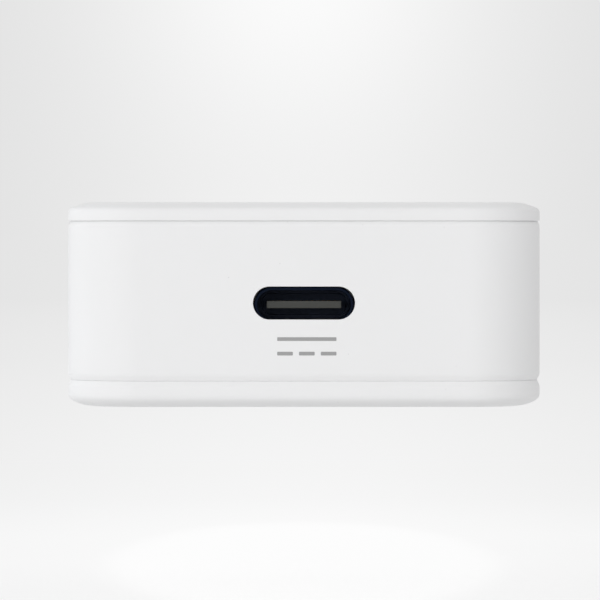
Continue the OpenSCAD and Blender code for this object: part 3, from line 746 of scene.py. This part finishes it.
# %% Model the receptacle's tube
socket_wall = 0.3
socket_rim = 0.3
foot_w, foot_len, foot_t = 1, 1.2, 0.25
tube = stadium(
    "receptacle_tube", socket_w, socket_h, socket_z, socket_low.y + socket_rim, socket_high.y - socket_rim
)
for end in (-1, 1):
    pick("FACE", facing(0, end, 0))
    walk(eased([
        (0, 0), (0, socket_rim, 0.1), (socket_wall, socket_rim, 0.1), (socket_wall, socket_rim - 0.4)
    ]), (0, end, 0))
open_ends(1)
close()
for side in (-1, 1):
    for y in (socket_low.y + 1.4, socket_high.y - 2.6):
        x = side * (socket_w / 2 + 0.35)
        foot = block(
            "foot", (x - foot_w / 2, y, socket_z), (x + foot_w / 2, y + foot_len, socket_z + foot_t)
        )
        combine(tube, foot, "UNION")
smooth(tube)
seat(tube, "housing", "socket_metal", "usb_shell")

# %% [markdown]
# The tongue is a thin plate of plastic that carries the contacts. Its front end is the one light thing in
# the socket, so it gets a fine step and eased edges, which catch a little light. A plug's contacts slide
# over its upper and lower faces, which stay flat.

# %% Model the tongue
tongue_low, tongue_high = (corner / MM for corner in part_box("usb_tongue"))
skin = Vector((0, 0, 0.02))
step_in, step_out = 0.05, 0.03
tongue_ease = 0.02
tongue = block("receptacle_tongue", tongue_low + skin, tongue_high - skin)
edit(tongue)
pick("FACE", facing(0, -1, 0))
walk([(0, 0), (step_in, step_out)], (0, -1, 0))
close()
ease_edges(tongue, tongue_ease, 2)
smooth(tongue)
seat(tongue, "housing", "socket_plastic", "usb_tongue")

# %% [markdown]
# The contacts are twelve gilt pads on the tongue's lower side and twelve on its upper side, with twelve
# tails on the board behind the shell. The first of each row is modelled with eased edges. It is copied for
# the rest of the row, and each copy is shifted in its own mesh.

# %% Model the contacts
contacts_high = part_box("usb_contacts")[1] / MM
contact_count = 12
contact_pitch = 0.5
pad_half_w = 0.13
pad_sunk = 0.035
pad_half_t = 0.02
tail_half_w = 0.11
tail_t = 0.12


def strip(name, corner_a, corner_b, easing):
    """A small flat piece of metal with eased edges"""
    piece = block(name, corner_a, corner_b)
    ease_edges(piece, easing, 2)
    return piece


def join(pieces, name):
    """Makes one piece of several"""
    bpy.ops.object.select_all(action="DESELECT")
    for piece in pieces:
        piece.select_set(True)
    bpy.context.view_layer.objects.active = pieces[0]
    bpy.ops.object.join()
    pieces[0].name = name
    return pieces[0]


first_x = -(contact_count - 1) / 2 * contact_pitch
strips = [
    strip(
        "pad", (first_x - pad_half_w, tongue_low.y + 0.5, z - pad_half_t),
        (first_x + pad_half_w, tongue_high.y, z + pad_half_t), 0.01
    )
    for z in (tongue_low.z + pad_sunk, tongue_high.z - pad_sunk)
]
strips.append(strip(
    "tail", (first_x - tail_half_w, socket_high.y, board_high.z),
    (first_x + tail_half_w, contacts_high.y, board_high.z + tail_t), 0.02
))
copies = [copy_of(one, (i * contact_pitch, 0, 0)) for one in strips for i in range(1, contact_count)]
contacts = join(strips + copies, "receptacle_contacts")
smooth(contacts)
seat(contacts, "housing", "gold_contact", "usb_contacts")

# %% [markdown]
# Behind the tongue's root, a black moulding closes the tube and holds the contacts. Only its front face is
# ever seen, deep in the socket. Its long edges are bevelled to fit the tube, and an inset with a shallow
# step gives the face the rim that the real moulding shows.

# %% Model the moulding behind the tongue
insulator_low, insulator_high = (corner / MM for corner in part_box("usb_insulator"))
insulator_corner = 1.2
insulator_rim = 0.3
insulator_step = 0.12
insulator = block("receptacle_insulator", insulator_low, insulator_high)
edit(insulator)
pick("EDGE", along(1))
bevel(insulator_corner, 12)
pick("FACE", facing(0, -1, 0))
walk([(0, 0), (insulator_rim, 0), (insulator_rim + 0.05, -insulator_step)], (0, -1, 0))
close()
smooth(insulator)
seat(insulator, "housing", "socket_black", "usb_insulator")

# %% [markdown]
# ## The printed mark
#
# Under the socket stands a small grey mark: a bar over three dashes, the general sign for direct current.
# Pad printing leaves a film of ink about a hundredth of a millimetre thick, with rounded corners. Such a
# film can be modelled as thin plates on the face, which keeps the mark sharp at any distance.

# %% Model the mark
mark_w = 5.3
mark_x = 0.25
mark_z = 5.5
mark_rise = 1.3
stroke = 0.33
stroke_corner = 0.06
dash_gap = 0.55
ink = 0.01
dash_count = 3
dash = (mark_w - (dash_count - 1) * dash_gap) / dash_count
strokes = [(-mark_w / 2, mark_w / 2, mark_rise / 2)]
for i in range(dash_count):
    x = -mark_w / 2 + i * (dash + dash_gap)
    strokes.append((x, x + dash, -mark_rise / 2))
plates = []
for x0, x1, z in strokes:
    plate = block(
        "stroke", (mark_x + x0, -half_d - ink, mark_z + z - stroke / 2),
        (mark_x + x1, -half_d + ink, mark_z + z + stroke / 2)
    )
    edit(plate)
    pick("EDGE", along(1))
    bevel(stroke_corner, 5)
    close()
    plates.append(plate)
mark = join(plates, "direct_current_mark")
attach(mark, "housing")
print(f"Mark: {mark_w} mm wide, {len(mark.data.polygons)} faces")

# %% [markdown]
# ## Materials
#
# Each finish is a small network of nodes. Written out node by node, such a network is hard to read, so two
# classes carry it. A signal stands for the output of a node, and can be added, multiplied or raised to a
# power as a number can. A finish is one material, or the air round the charger, and adds its nodes.

# %% A signal that can be reckoned with
class Signal:
    """The output of a node, to be used in expressions"""

    def __init__(self, finish, socket):
        self.finish = finish
        self.socket = socket

    def maths(self, operation, *values):
        return self.finish.add("ShaderNodeMath", dict(enumerate(values)), {"operation": operation})

    def through(self, operation, *others):
        """This signal put through one Math node, with other values after it"""
        return self.maths(operation, self, *others)

    def __add__(self, other):
        return self.through("ADD", other)

    def __radd__(self, other):
        return self.maths("ADD", other, self)

    def __sub__(self, other):
        return self.through("SUBTRACT", other)

    def __rsub__(self, other):
        return self.maths("SUBTRACT", other, self)

    def __mul__(self, other):
        return self.through("MULTIPLY", other)

    def __truediv__(self, other):
        return self.through("DIVIDE", other)

    def __pow__(self, other):
        return self.through("POWER", other)

    def above(self, level, softness):
        """0 below level, 1 above it, and a smooth step between"""
        values = {"Value": self, "From Min": level - softness, "From Max": level + softness}
        return self.finish.add("ShaderNodeMapRange", values, {"interpolation_type": "SMOOTHSTEP"})

# %% [markdown]
# Colours are written as on the web, where 128 of 255 looks half as bright as white but is only a fifth of
# its light. The nodes reckon with light, so each colour is changed over first. All patterns read the place
# on the piece in metres. That keeps a grain at its true size, and it moves with the piece.

# %% A finish that adds its own nodes
def colour(text):
    """A web colour as the linear values that the nodes take"""
    channels = [int(text[i:i + 2], 16) / 255 for i in (1, 3, 5)]
    return tuple(c / 12.92 if c < 0.04045 else ((c + 0.055) / 1.055) ** 2.4 for c in channels) + (1,)


class Finish:
    """The nodes of a new material, or of a tree that is there already"""

    def __init__(self, name, tree=None):
        if tree is None:
            self.material = bpy.data.materials.new(name)
            self.material.use_nodes = True
            tree = self.material.node_tree
        self.nodes = tree.nodes
        self.links = tree.links
        self.nodes.clear()

    def add(self, kind, values=None, settings=None, output=0):
        """Adds a node with the values, web colours or links of its sockets, and its settings or stops"""
        node = self.nodes.new(kind)
        for name, setting in (settings or {}).items():
            if name == "stops":
                while len(node.color_ramp.elements) < len(setting):
                    node.color_ramp.elements.new(1)
                for element, (place, value) in zip(node.color_ramp.elements, setting):
                    element.position = place
                    element.color = value
            else:
                setattr(node, name, setting)
        for name, value in (values or {}).items():
            if isinstance(value, Signal):
                self.links.new(value.socket, node.inputs[name])
            else:
                node.inputs[name].default_value = colour(value) if isinstance(value, str) else value
        return Signal(self, node.outputs[output]) if node.outputs else None

    def place(self, stretch=(1, 1, 1)):
        """Where a point lies on the piece, in metres, stretched along each axis"""
        point = self.add("ShaderNodeTexCoord", output="Object")
        return self.add("ShaderNodeMapping", {"Vector": point, "Scale": stretch})

    def axis(self, letter):
        """A point's place along one axis, in metres"""
        return self.part(self.place(), letter)

    def part(self, vector, letter):
        """One part of a vector"""
        return self.add("ShaderNodeSeparateXYZ", {"Vector": vector}, output=letter)

    def noise(self, size, detail=2, stretch=(1, 1, 1), roughness=0.5):
        """Soft irregular patches of a size in millimetres, from 0 to 1"""
        values = {
            "Vector": self.place(stretch), "Scale": 1 / (size * MM), "Detail": detail, "Roughness": roughness
        }
        return self.add("ShaderNodeTexNoise", values, output="Fac")

    def cells(self, size):
        """Distance from the nearest of many scattered points, size millimetres apart"""
        values = {"Vector": self.place(), "Scale": 1 / (size * MM)}
        return self.add("ShaderNodeTexVoronoi", values, output="Distance")

    def mix(self, factor, colour_a, colour_b, blend="MIX"):
        """colour_a where factor is 0, colour_b where it is 1"""
        settings = {"data_type": "RGBA", "blend_type": blend}
        return self.add("ShaderNodeMix", {0: factor, 6: colour_a, 7: colour_b}, settings, 2)

    def bump(self, height, depth, strength):
        """A normal for a relief whose height runs from 0 to 1 over depth millimetres"""
        values = {"Height": height, "Distance": depth * MM, "Strength": strength}
        return self.add("ShaderNodeBump", values, output="Normal")

    def shade(self, **values):
        """Ends the material in a Principled shader, with its sockets' names written with underscores"""
        names = {name.replace("_", " ").title().replace("Ior", "IOR"): v for name, v in values.items()}
        shader = self.add("ShaderNodeBsdfPrincipled", names)
        self.add("ShaderNodeOutputMaterial", {"Surface": shader})
        return self.material


print(f"A web grey of 128 is {colour('#808080')[0]:.2f} of the light of white")

# %% [markdown]
# ## White plastic
#
# The housing is white polycarbonate from a mould with a fine spark-eroded texture. Close up it is a very
# shallow grain, a few hundredths of a millimetre wide. Further away the eye sees only that the gloss is
# soft and a little uneven. A fine noise and a wider one, drawn out the way the melt flowed, make the
# relief. A still wider one varies the roughness along with the fine one, and it shifts the white by less
# than one part in a hundred. A few specks of dust in the granulate show as tiny darker points.

# %% Moulded plastic
def moulded(name, base, shadow, roughness, grain=0.05, grain_depth=0.004, specks=True, specular=0.5):
    """Moulded plastic: shadow is the colour of its slightly darker patches"""
    finish = Finish(name)
    cloud = finish.noise(9, detail=3)
    fine = finish.noise(grain, detail=3, roughness=0.6)
    flow = finish.noise(1.6, stretch=(1, 0.3, 1))
    tone = finish.mix(cloud * 0.7 + flow * 0.3, base, shadow)
    if specks:
        dust = 1 - finish.cells(1.9).above(0.022, 0.012)
        tone = finish.mix(dust * 0.35, tone, "#8C8A86")
    gloss = roughness - 0.05 + cloud * 0.06 + fine * 0.04
    relief = finish.bump(fine + flow * 0.5, grain_depth, 0.5)
    return finish.shade(
        base_color=tone, roughness=gloss, normal=relief, specular_ior_level=specular, ior=1.53
    )


def dress(material, *pieces):
    """Gives a material to pieces, or to nodes of the construction by name"""
    pieces = [frame["nodes"][piece] if isinstance(piece, str) else piece for piece in pieces]
    for piece in pieces:
        piece.data.materials.clear()
        piece.data.materials.append(material)
    names = ", ".join(piece.name for piece in pieces)
    print(f"{material.name}: {len(material.node_tree.nodes)} nodes, on {names}")


white = moulded("white_housing", "#EFEFF0", "#EDEDED", 0.44)
hub_white = moulded("white_hub", "#ECECEC", "#E6E6E4", 0.4)
dress(white, top_cover, sleeve, cover)
dress(hub_white, hub)

# %% [markdown]
# ## Metals
#
# Rolled strip has fine lines along its length, and the tumbling before plating leaves shallow dents. The
# lines are a noise drawn out fiftyfold along the blade, because its coordinate runs that much slower there.

# %% Rolled and plated metal
def rolled(name, base, worn, roughness, line, stretch, dent=0.8):
    """Metal strip with lines of a width in millimetres, stretched along the rolling direction"""
    finish = Finish(name)
    lines = finish.noise(line, detail=4, stretch=stretch)
    dents = finish.noise(dent)
    stains = finish.noise(3.5, detail=4, roughness=0.65)
    tone = finish.mix(stains.above(0.6, 0.25) * 0.6 + lines * 0.2, base, worn)
    gloss = roughness + lines * 0.12 + stains * 0.08 - 0.08
    relief = finish.bump(lines * 0.6 + dents, 0.004, 0.6)
    return finish.shade(base_color=tone, metallic=1.0, roughness=gloss, normal=relief)


nickel = rolled("nickel_blade", "#CFCCC6", "#B9B4AA", 0.24, 0.06, (1, 0.02, 1))
dress(nickel, blade, neutral)

# %% [markdown]
# The socket should read as a black hole with a grey bar in it. The tube is dark plated steel, so it is
# rougher and far darker than the blades. The moulding at its back is lighter than it looks, because almost
# no light gets that deep. The contacts are gilt, and the printed mark is a flat grey ink.

# %% Finishes of the socket and the mark
socket_tube = rolled("socket_metal", "#1A2130", "#131925", 0.5, 0.05, (1, 0.05, 1))
tongue_grey = moulded(
    "socket_plastic", "#4D4E4B", "#474845", 0.6, grain=0.03, specks=False, specular=0.2
)
socket_black = moulded("socket_black", "#384259", "#2E3749", 0.6, specks=False, specular=0.25)
gilt = rolled("gold_contact", "#E0B45C", "#C8963E", 0.25, 0.03, (1, 0.05, 1), dent=0.2)
ink_grey = moulded("printed_grey", "#A2A2A2", "#9C9C9C", 0.5, grain=0.03, specks=False)
dress(socket_tube, tube)
dress(tongue_grey, tongue)
dress(socket_black, insulator)
dress(gilt, contacts)
dress(ink_grey, mark)

# %% [markdown]
# ## The parts inside
#
# Nobody sees these while the housing is closed, yet the charger may be shown taken apart, so each part
# gets the finish of the real one. Their shapes come ready made, and only the surface is new. Where one
# part has two finishes, such as a black chip with tinned legs, a mask chooses between them by place: the
# legs are what lies further out than the moulded body.

# %% Helpers for masks by place
TINNED = "#C9C7C2"


def middle(node):
    corner_a, corner_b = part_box(node)
    return (corner_a + corner_b) / 2


def two_part(finish, mask, tone, gloss, relief):
    """Plastic where mask is 0 and tinned metal where it is 1"""
    return finish.shade(
        base_color=finish.mix(mask, tone, TINNED), roughness=gloss * (1 - mask) + mask * 0.32,
        metallic=mask, normal=relief
    )

# %% [markdown]
# Chips are pressed from black epoxy filled with ground quartz, which leaves a sandy surface. The blue disc
# parts are dipped, so their coat is glossy and wavy, and thins towards the legs.

# %% Chips and dipped parts
def chip(name, node, base, leg):
    """Pressed epoxy, with tinned legs of a length in millimetres along Y, or with none"""
    finish = Finish(name)
    grain = finish.noise(0.07, detail=4, roughness=0.7)
    cloud = finish.noise(1.5, detail=3)
    tone = finish.mix(grain * 0.5 + cloud * 0.3, base, "#3A3A3A", "SCREEN")
    gloss = 0.5 + grain * 0.15
    relief = finish.bump(grain, 0.01, 0.7)
    if not leg:
        return finish.shade(base_color=tone, roughness=gloss, normal=relief)
    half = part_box(node)[1].y - middle(node).y
    legs = (finish.axis("Y") - middle(node).y).through("ABSOLUTE").above(half - leg * MM, 0.02 * MM)
    return two_part(finish, legs, tone, gloss, relief)


def dipped(name, base, edge, legs_below):
    """Dipped epoxy over a disc, with tinned legs below a height in millimetres"""
    finish = Finish(name)
    wave = finish.noise(1.4)
    fine = finish.noise(0.2)
    legs = 1 - finish.axis("Z").above(legs_below * MM, 0.15 * MM)
    tone = finish.mix(wave * 0.7, base, edge)
    return two_part(finish, legs, tone, 0.2 + fine * 0.12, finish.bump(wave + fine * 0.1, 0.03, 0.5))


for node, leg in (
    ("bridge_rectifier", 0.7), ("primary_controller", 0.45), ("sync_rectifier", 0.55),
    ("snubber_diode", 0), ("pd_controller", 0), ("output_switch", 0)
):
    dress(chip("black_chip_" + node, node, "#1B1B1C", leg), node)
dress(chip("white_opto", "optocoupler", "#DAD6CB", 0.6), "optocoupler")
dress(dipped("blue_epoxy_varistor", "#1F4E9E", "#173B7A", 9.65), "varistor")
dress(dipped("blue_epoxy_capacitor", "#2C6FB2", "#215388", 9.75), "y_capacitor")

# %% [markdown]
# Wire turns lie side by side. On a coil that is wound round an upright core they stack along Z, so a sine
# of the height gives their round backs. On a ring core they fan out, and the sine takes the angle round
# the ring instead. The same sine darkens the colour between the turns, which is painted shade. The enamel
# over the copper is a thin clear coat.

# %% Windings and ferrite
def wound(name, turns, base, shade_between_turns):
    """Enamelled wire, where turns gives how many wires have passed at each point"""
    finish, count = turns
    back = (count * (2 * pi)).through("SINE") * 0.5 + 0.5
    patch = finish.noise(0.9, detail=3)
    # Painted shade: the copper darkens to the darker colour in the grooves between the turns, and keeps its
    # own colour on their backs.
    tone = finish.mix(back * 0.75 + patch * 0.25, shade_between_turns, base)
    gloss = 0.34 - back * 0.08 + patch * 0.06
    relief = finish.bump(back, 0.12, 0.8)
    return finish.shade(base_color=tone, metallic=0.75, roughness=gloss, normal=relief, coat_weight=0.4)


def stacked(name, wire_d):
    finish = Finish(name)
    return finish, finish.axis("Z") / (wire_d * MM)


def fanned(name, node, turns):
    finish = Finish(name)
    x, y = (finish.axis(axis) - place for axis, place in zip("XY", middle(node)))
    return finish, y.through("ARCTAN2", x) * (turns / (2 * pi))


def sintered(name, base, shadow, grain):
    """Fired powder: dense, dull and slightly pitted"""
    finish = Finish(name)
    powder = finish.noise(grain, detail=5, roughness=0.7)
    pits = 1 - finish.cells(0.35).above(0.12, 0.08)
    tone = finish.mix(powder, base, shadow)
    relief = finish.bump(powder - pits * 0.4, 0.015, 0.7)
    return finish.shade(base_color=tone, roughness=0.5 + powder * 0.25, normal=relief)


# The darker copper is painted shade, for the grooves between the wire turns.
copper, painted_shade_copper = "#C8753A", "#6E3A1A"
dress(wound("copper_choke", fanned("copper_choke", "choke_core", 52), copper, painted_shade_copper), "choke_windings")
dress(wound("copper_filter", stacked("copper_filter", 0.32), copper, painted_shade_copper), "filter_winding")
dress(wound("copper_transformer", stacked("copper_transformer", 0.24), copper, painted_shade_copper),
      "transformer_winding")
ferrite = sintered("ferrite", "#333436", "#232426", 0.12)
dress(ferrite, "choke_core", "filter_inductor", "transformer_core_lower", "transformer_core_upper")
dress(sintered("ceramic_tan", "#A88A63", "#8F7350", 0.06), "chip_capacitors")
dress(sintered("resistor_black", "#2A2B2D", "#1C1D1F", 0.08), "chip_resistors")

# %% [markdown]
# The circuit board is glass cloth in resin. Copper areas lie under a green mask and show through it as a
# lighter green, parted by narrow dark gaps. Those areas have straight sides, so the gaps are the borders
# between the cells of a Voronoi pattern that measures distance along the axes. At the board's edge, where
# the mask ends, the pale laminate shows its layers.

# %% Circuit board
mask_t = 0.04


def board_finish():
    finish = Finish("green_board")
    values = {"Vector": finish.place(), "Scale": 1 / (3.2 * MM), "Randomness": 0.85}
    nearest, second = (
        finish.add("ShaderNodeTexVoronoi", values, {"feature": feature, "distance": "CHEBYCHEV"}, "Distance")
        for feature in ("F1", "F2")
    )
    gaps = 1 - (second - nearest).above(0.07, 0.02)
    warp, weft = (finish.noise(0.25, stretch=stretch) for stretch in ((1, 0.3, 1), (0.3, 1, 1)))
    weave = warp * 0.5 + weft * 0.5
    up = finish.axis("Z")
    over = up.above((board_high.z - mask_t) * MM, 0.01 * MM)
    under = 1 - up.above((board_low.z + mask_t) * MM, 0.01 * MM)
    masked = over + under
    mask_tone = finish.mix(gaps, "#1E6B3B", "#0E4023")
    mask_tone = finish.mix(weave * 0.3, mask_tone, "#2A7A48")
    layers = finish.noise(0.12, stretch=(0.05, 0.05, 1))
    laminate = finish.mix(layers, "#B7A676", "#8E8158")
    return finish.shade(
        base_color=finish.mix(masked, laminate, mask_tone), roughness=0.6 - masked * 0.3 + weave * 0.08,
        normal=finish.bump(weave * 0.15 - gaps, 0.035, 0.6)
    )


dress(board_finish(), "main_board")

# %% [markdown]
# A capacitor's sleeve is film, shrunk on by heat. It is glossy, dark blue, and carries a pale stripe along
# the side of the negative lead. The stripe is a band of places near the sleeve's top.

# %% Sleeves and films
stripe_half_w = 1.1


def sleeve_finish(node):
    """Shrunk film on a can that lies along Y"""
    finish = Finish("capacitor_sleeve_" + node)
    centre = middle(node)
    aside = (finish.axis("X") - centre.x).through("ABSOLUTE")
    upper = finish.axis("Z").above(centre.z, 0.1 * MM)
    stripe = (1 - aside.above(stripe_half_w * MM, 0.03 * MM)) * upper
    crinkle = finish.noise(0.8, detail=3, stretch=(1, 0.4, 1))
    tone = finish.mix(crinkle, "#1F2C45", "#18233A")
    tone = finish.mix(stripe * 0.9, tone, "#B9C0CC")
    return finish.shade(
        base_color=tone, roughness=0.24 + crinkle * 0.12, normal=finish.bump(crinkle, 0.02, 0.4)
    )


def film(name, base, shade_colour, gloss, lap):
    """Thin polyester: smooth, glossy, with faint laps and wrinkles a few millimetres apart"""
    finish = Finish(name)
    wrinkle = finish.noise(lap, detail=3, stretch=(0.4, 0.4, 1))
    dust = finish.noise(0.15)
    tone = finish.mix(wrinkle * 0.8, base, shade_colour)
    return finish.shade(
        base_color=tone, roughness=gloss + dust * 0.1, normal=finish.bump(wrinkle, 0.03, 0.5),
        coat_weight=0.3
    )


for node in ("bulk_capacitor_left", "bulk_capacitor_right"):
    dress(sleeve_finish(node), node)
dress(film("yellow_tape", "#E8C63A", "#CFA925", 0.2, 1.2), "transformer_tape")
dress(film("barrier_film", "#E3DFCF", "#D6D0B8", 0.28, 3), "isolation_barrier")

# %% [markdown]
# The rest are plain metals and mouldings. Springs, contacts and wires are rolled or drawn, so each has its
# lines along the direction in which it was made: a small number in the stretch is the way that the lines
# run. The fuse, the rubber bungs, the bobbin and the pad differ in colour, gloss and the size of the grain.

# %% Metals and mouldings inside
metals = (
    ("spring_steel", "#B4B6B9", "#9B9DA1", 0.3, 0.04, (0.02, 1, 1), 0.8, ["detent_spring"]),
    ("contact_brass", "#D9B36A", "#B98F45", 0.3, 0.04, (1, 0.02, 1), 0.8,
     ["line_contact", "neutral_contact"]),
    ("screw_steel", "#BFC2C8", "#A2A4A8", 0.28, 0.08, (1, 1, 0.1), 0.8, ["retainer_screws"]),
    ("tinned_wire", "#CBC9C4", "#B3B0A9", 0.3, 0.05, (1, 1, 0.1), 0.3,
     ["fuse_leads", "capacitor_leads", "transformer_pins"]),
    ("capacitor_can", "#D4D5D8", "#C0C2C5", 0.3, 0.05, (1, 1, 0.03), 0.8, ["output_capacitors"]),
    ("spreader_aluminium", "#D8D9DC", "#C6C8CB", 0.34, 0.08, (0.01, 1, 1), 3, ["heat_spreader"])
)
for *finish, nodes in metals:
    dress(rolled(*finish), *nodes)
mouldings = (
    ("fuse_body", "#7A5238", "#6B452E", 0.35, 0.1, ["fuse"]),
    ("capacitor_rubber", "#262626", "#1D1D1D", 0.7, 0.09, ["capacitor_bungs"]),
    ("black_bobbin", "#222223", "#191919", 0.45, 0.07, ["transformer_bobbin", "output_capacitor_bases"])
)
for *finish, nodes in mouldings:
    dress(moulded(*finish, specks=False), *nodes)
dress(moulded("grey_pad", "#A9AEB8", "#9AA0AB", 0.75, grain=0.12, grain_depth=0.01), "thermal_pad")
dress(hub_white, "hub_retainer")
bare = [name for name, node in frame["nodes"].items() if not any(node.data.materials)]
print(f"Finishes: {len(bpy.data.materials)}; parts without one: {bare}")

# %% [markdown]
# ## The studio
#
# The charger floats a blade's length above a pale floor, which leaves room for the blades when they are
# unfolded. Light from everywhere, as in a tent of white cloth, carries most of the picture. A large soft
# lamp from the front and left models the corners, a weaker, slightly blue one from the far left lifts that
# side, and a very faint one above does the same for the lid. A low lamp would glare where a flat face is
# seen at a grazing angle, so the lamps are left out of reflections, and gloss shows the white tent alone.
# What the camera sees of the floor and of the air behind is painted, and doesn't light the charger.

# %% Lamps
lamp_distance = 1.2


def lamp(name, direction, level, size, tint=(1, 1, 1)):
    """A square lamp that gives a white surface facing it the brightness level, with no glare"""
    light = bpy.data.lights.new(name, "AREA")
    light.size = size
    light.energy = level * 4 * pi * (lamp_distance ** 2 + size ** 2 / pi)
    light.color = tint
    holder = bpy.data.objects.new(name, light)
    bpy.context.scene.collection.objects.link(holder)
    towards = Vector(direction).normalized()
    holder.location = towards * lamp_distance
    holder.rotation_euler = towards.to_track_quat("Z", "Y").to_euler()
    holder.visible_camera = False
    holder.visible_glossy = False
    print(f"Lamp {name}: {light.energy:.2f} W, {size} m wide")


lamp("key", (-0.42, -0.9, 0.06), 0.4, 1.4)
lamp("left", (-0.9, 0.42, 0.02), 0.24, 1.0, (0.96, 1.0, 1.05))
lamp("top", (0.1, 0.35, 1), 0.015, 0.9)

# %% [markdown]
# A real sweep of white paper behind a product is never one flat tone: it fades towards the horizon and
# glows where a lamp meets it. Here that picture is painted with a few smooth functions of place. It shows
# to the camera, in reflections and through glass, while the light that falls on the charger stays even.

# %% Helpers for painted light
def grey(value):
    """The linear value of a screen grey between 0 and 255"""
    return ((value / 255 + 0.055) / 1.055) ** 2.4


def even(value):
    """A grey as a colour"""
    return (value, value, value, 1)


def square(signal):
    return signal * signal


def hump(signal, width):
    """1 where signal is 0, and a smooth fall to 0 over width on both sides"""
    return (square(signal / width) * -1).through("EXPONENT")


def seen(finish):
    """1 for what the camera sees directly, in a reflection or through glass"""
    direct, glossy, through = (
        finish.add("ShaderNodeLightPath", output=f"Is {kind} Ray")
        for kind in ("Camera", "Glossy", "Transmission")
    )
    return direct.through("MAXIMUM", glossy.through("MAXIMUM", through))

# %% [markdown]
# The world mixes two backgrounds. What is seen is the painted one, brighter in the middle, and what lights
# the charger is one even grey, as bright as a tent of white cloth.

# %% World
ambient = 0.655
tent_grey = 223.5
halo_w, halo_gain = 0.045, 17
beam_w, beam_gain = 0.0315, 10.3
beam_foot, beam_softness = 0.0265, 0.0185
world = bpy.data.worlds.new("studio")
bpy.context.scene.world = world
world.use_nodes = True
air = Finish("studio", world.node_tree)
ray = air.add("ShaderNodeTexCoord", output="Generated")
aside, up = air.part(ray, "X"), air.part(ray, "Z")
halo = hump(aside, halo_w) * halo_gain
beam = up.above(beam_foot, beam_softness) * hump(aside, beam_w) * beam_gain
glow = tent_grey + halo + beam
lit = air.add("ShaderNodeBackground", {"Color": even(ambient)})
painted = air.add("ShaderNodeBackground", {"Color": grey(glow)})
both = air.add("ShaderNodeMixShader", {0: seen(air), 1: lit, 2: painted})
air.add("ShaderNodeOutputWorld", {"Surface": both})
print(f"World: {len(air.nodes)} nodes, lighting at {ambient}")

# %% [markdown]
# The floor is a large disc. A ramp over the distance gives its fading tone, a pool and a fan of light
# brighten its middle, and a smooth limit keeps them just short of pure white. Near the charger, a share of
# it is a plain white surface, which takes the charger's soft shadow. Seen from below it is clear, so that
# the underside can be looked at as well.

# %% Floor
floor_z = -17.3 * MM
floor_white = 0.91
floor_light = 0.8
shadow_share = 0.15
pool_y, pool_half_w, pool_half_len, pool_gain = 0.04, 0.0185, 0.075, 0.09
fan_w, fan_spread, fan_gain = 0.03, 0.045, 0.062
brightest, limit_softness = 0.985, 0.05
bpy.ops.mesh.primitive_circle_add(vertices=128, radius=35, fill_type="NGON", location=(0, 0, floor_z))
bpy.ops.object.transform_apply(location=True, rotation=True, scale=True)
floor = bpy.context.object
floor.name = "floor"
paint = Finish("floor")
aside, back = paint.axis("X"), paint.axis("Y")
ramp_start, ramp_length = -0.15, 3
levels = [
    (-0.01, 242), (0.04, 244), (0.09, 244), (0.13, 242), (0.18, 239.2), (0.27, 237.2), (0.39, 236.1),
    (0.52, 234.8), (0.98, 231.2), (2.4, 226.6)
]
stops = [((place - ramp_start) / ramp_length, even(grey(level))) for place, level in levels]
run = paint.add("ShaderNodeValToRGB", {"Fac": (back - ramp_start) / ramp_length}, {"stops": stops})
pool = 1 - (square(aside / pool_half_w) + square((back - pool_y) / pool_half_len)).above(0.9, 0.5)
fan = hump(aside / (back.through("MAXIMUM", 0) * fan_spread + fan_w), 1)
shown = (run + fan * fan_gain + pool * pool_gain).through("SMOOTH_MIN", brightest, limit_softness)
share = (1 - (square(aside) + square(back)).above(0.05, 0.04)) * shadow_share
unlit = (shown - share * (floor_white * floor_light)) / (1 - share)
white_floor = paint.add("ShaderNodeBsdfDiffuse", {"Color": even(floor_white)})
glowing = paint.add("ShaderNodeEmission", {"Color": unlit})
visible = paint.add("ShaderNodeMixShader", {0: share, 1: glowing, 2: white_floor})
front = paint.add("ShaderNodeMixShader", {0: seen(paint), 1: white_floor, 2: visible})
behind = paint.add("ShaderNodeNewGeometry", output="Backfacing")
clear = paint.add("ShaderNodeBsdfTransparent")
surface = paint.add("ShaderNodeMixShader", {0: behind, 1: front, 2: clear})
paint.add("ShaderNodeOutputMaterial", {"Surface": surface})
floor.data.materials.append(paint.material)
floor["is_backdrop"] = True
print(f"Floor: {-floor_z / MM} mm below the underside, {len(paint.nodes)} nodes")

# %% [markdown]
# ## Colours and sizes
#
# The Standard view shows each colour as it is written, without the film-like curve that would grey the
# white plastic. Last, the pieces and the construction are measured, and both boxes are printed. Last,
# the pieces are measured against the construction, since nothing may stand proud of it.

# %% Show colours as they are and measure the pieces
bpy.context.scene.view_settings.view_transform = "Standard"
visual_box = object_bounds()
for name, (corner_a, corner_b) in (("Construction", cad_box), ("Pieces", visual_box)):
    print(name, [round(value / MM, 2) for value in corner_b - corner_a], "mm")
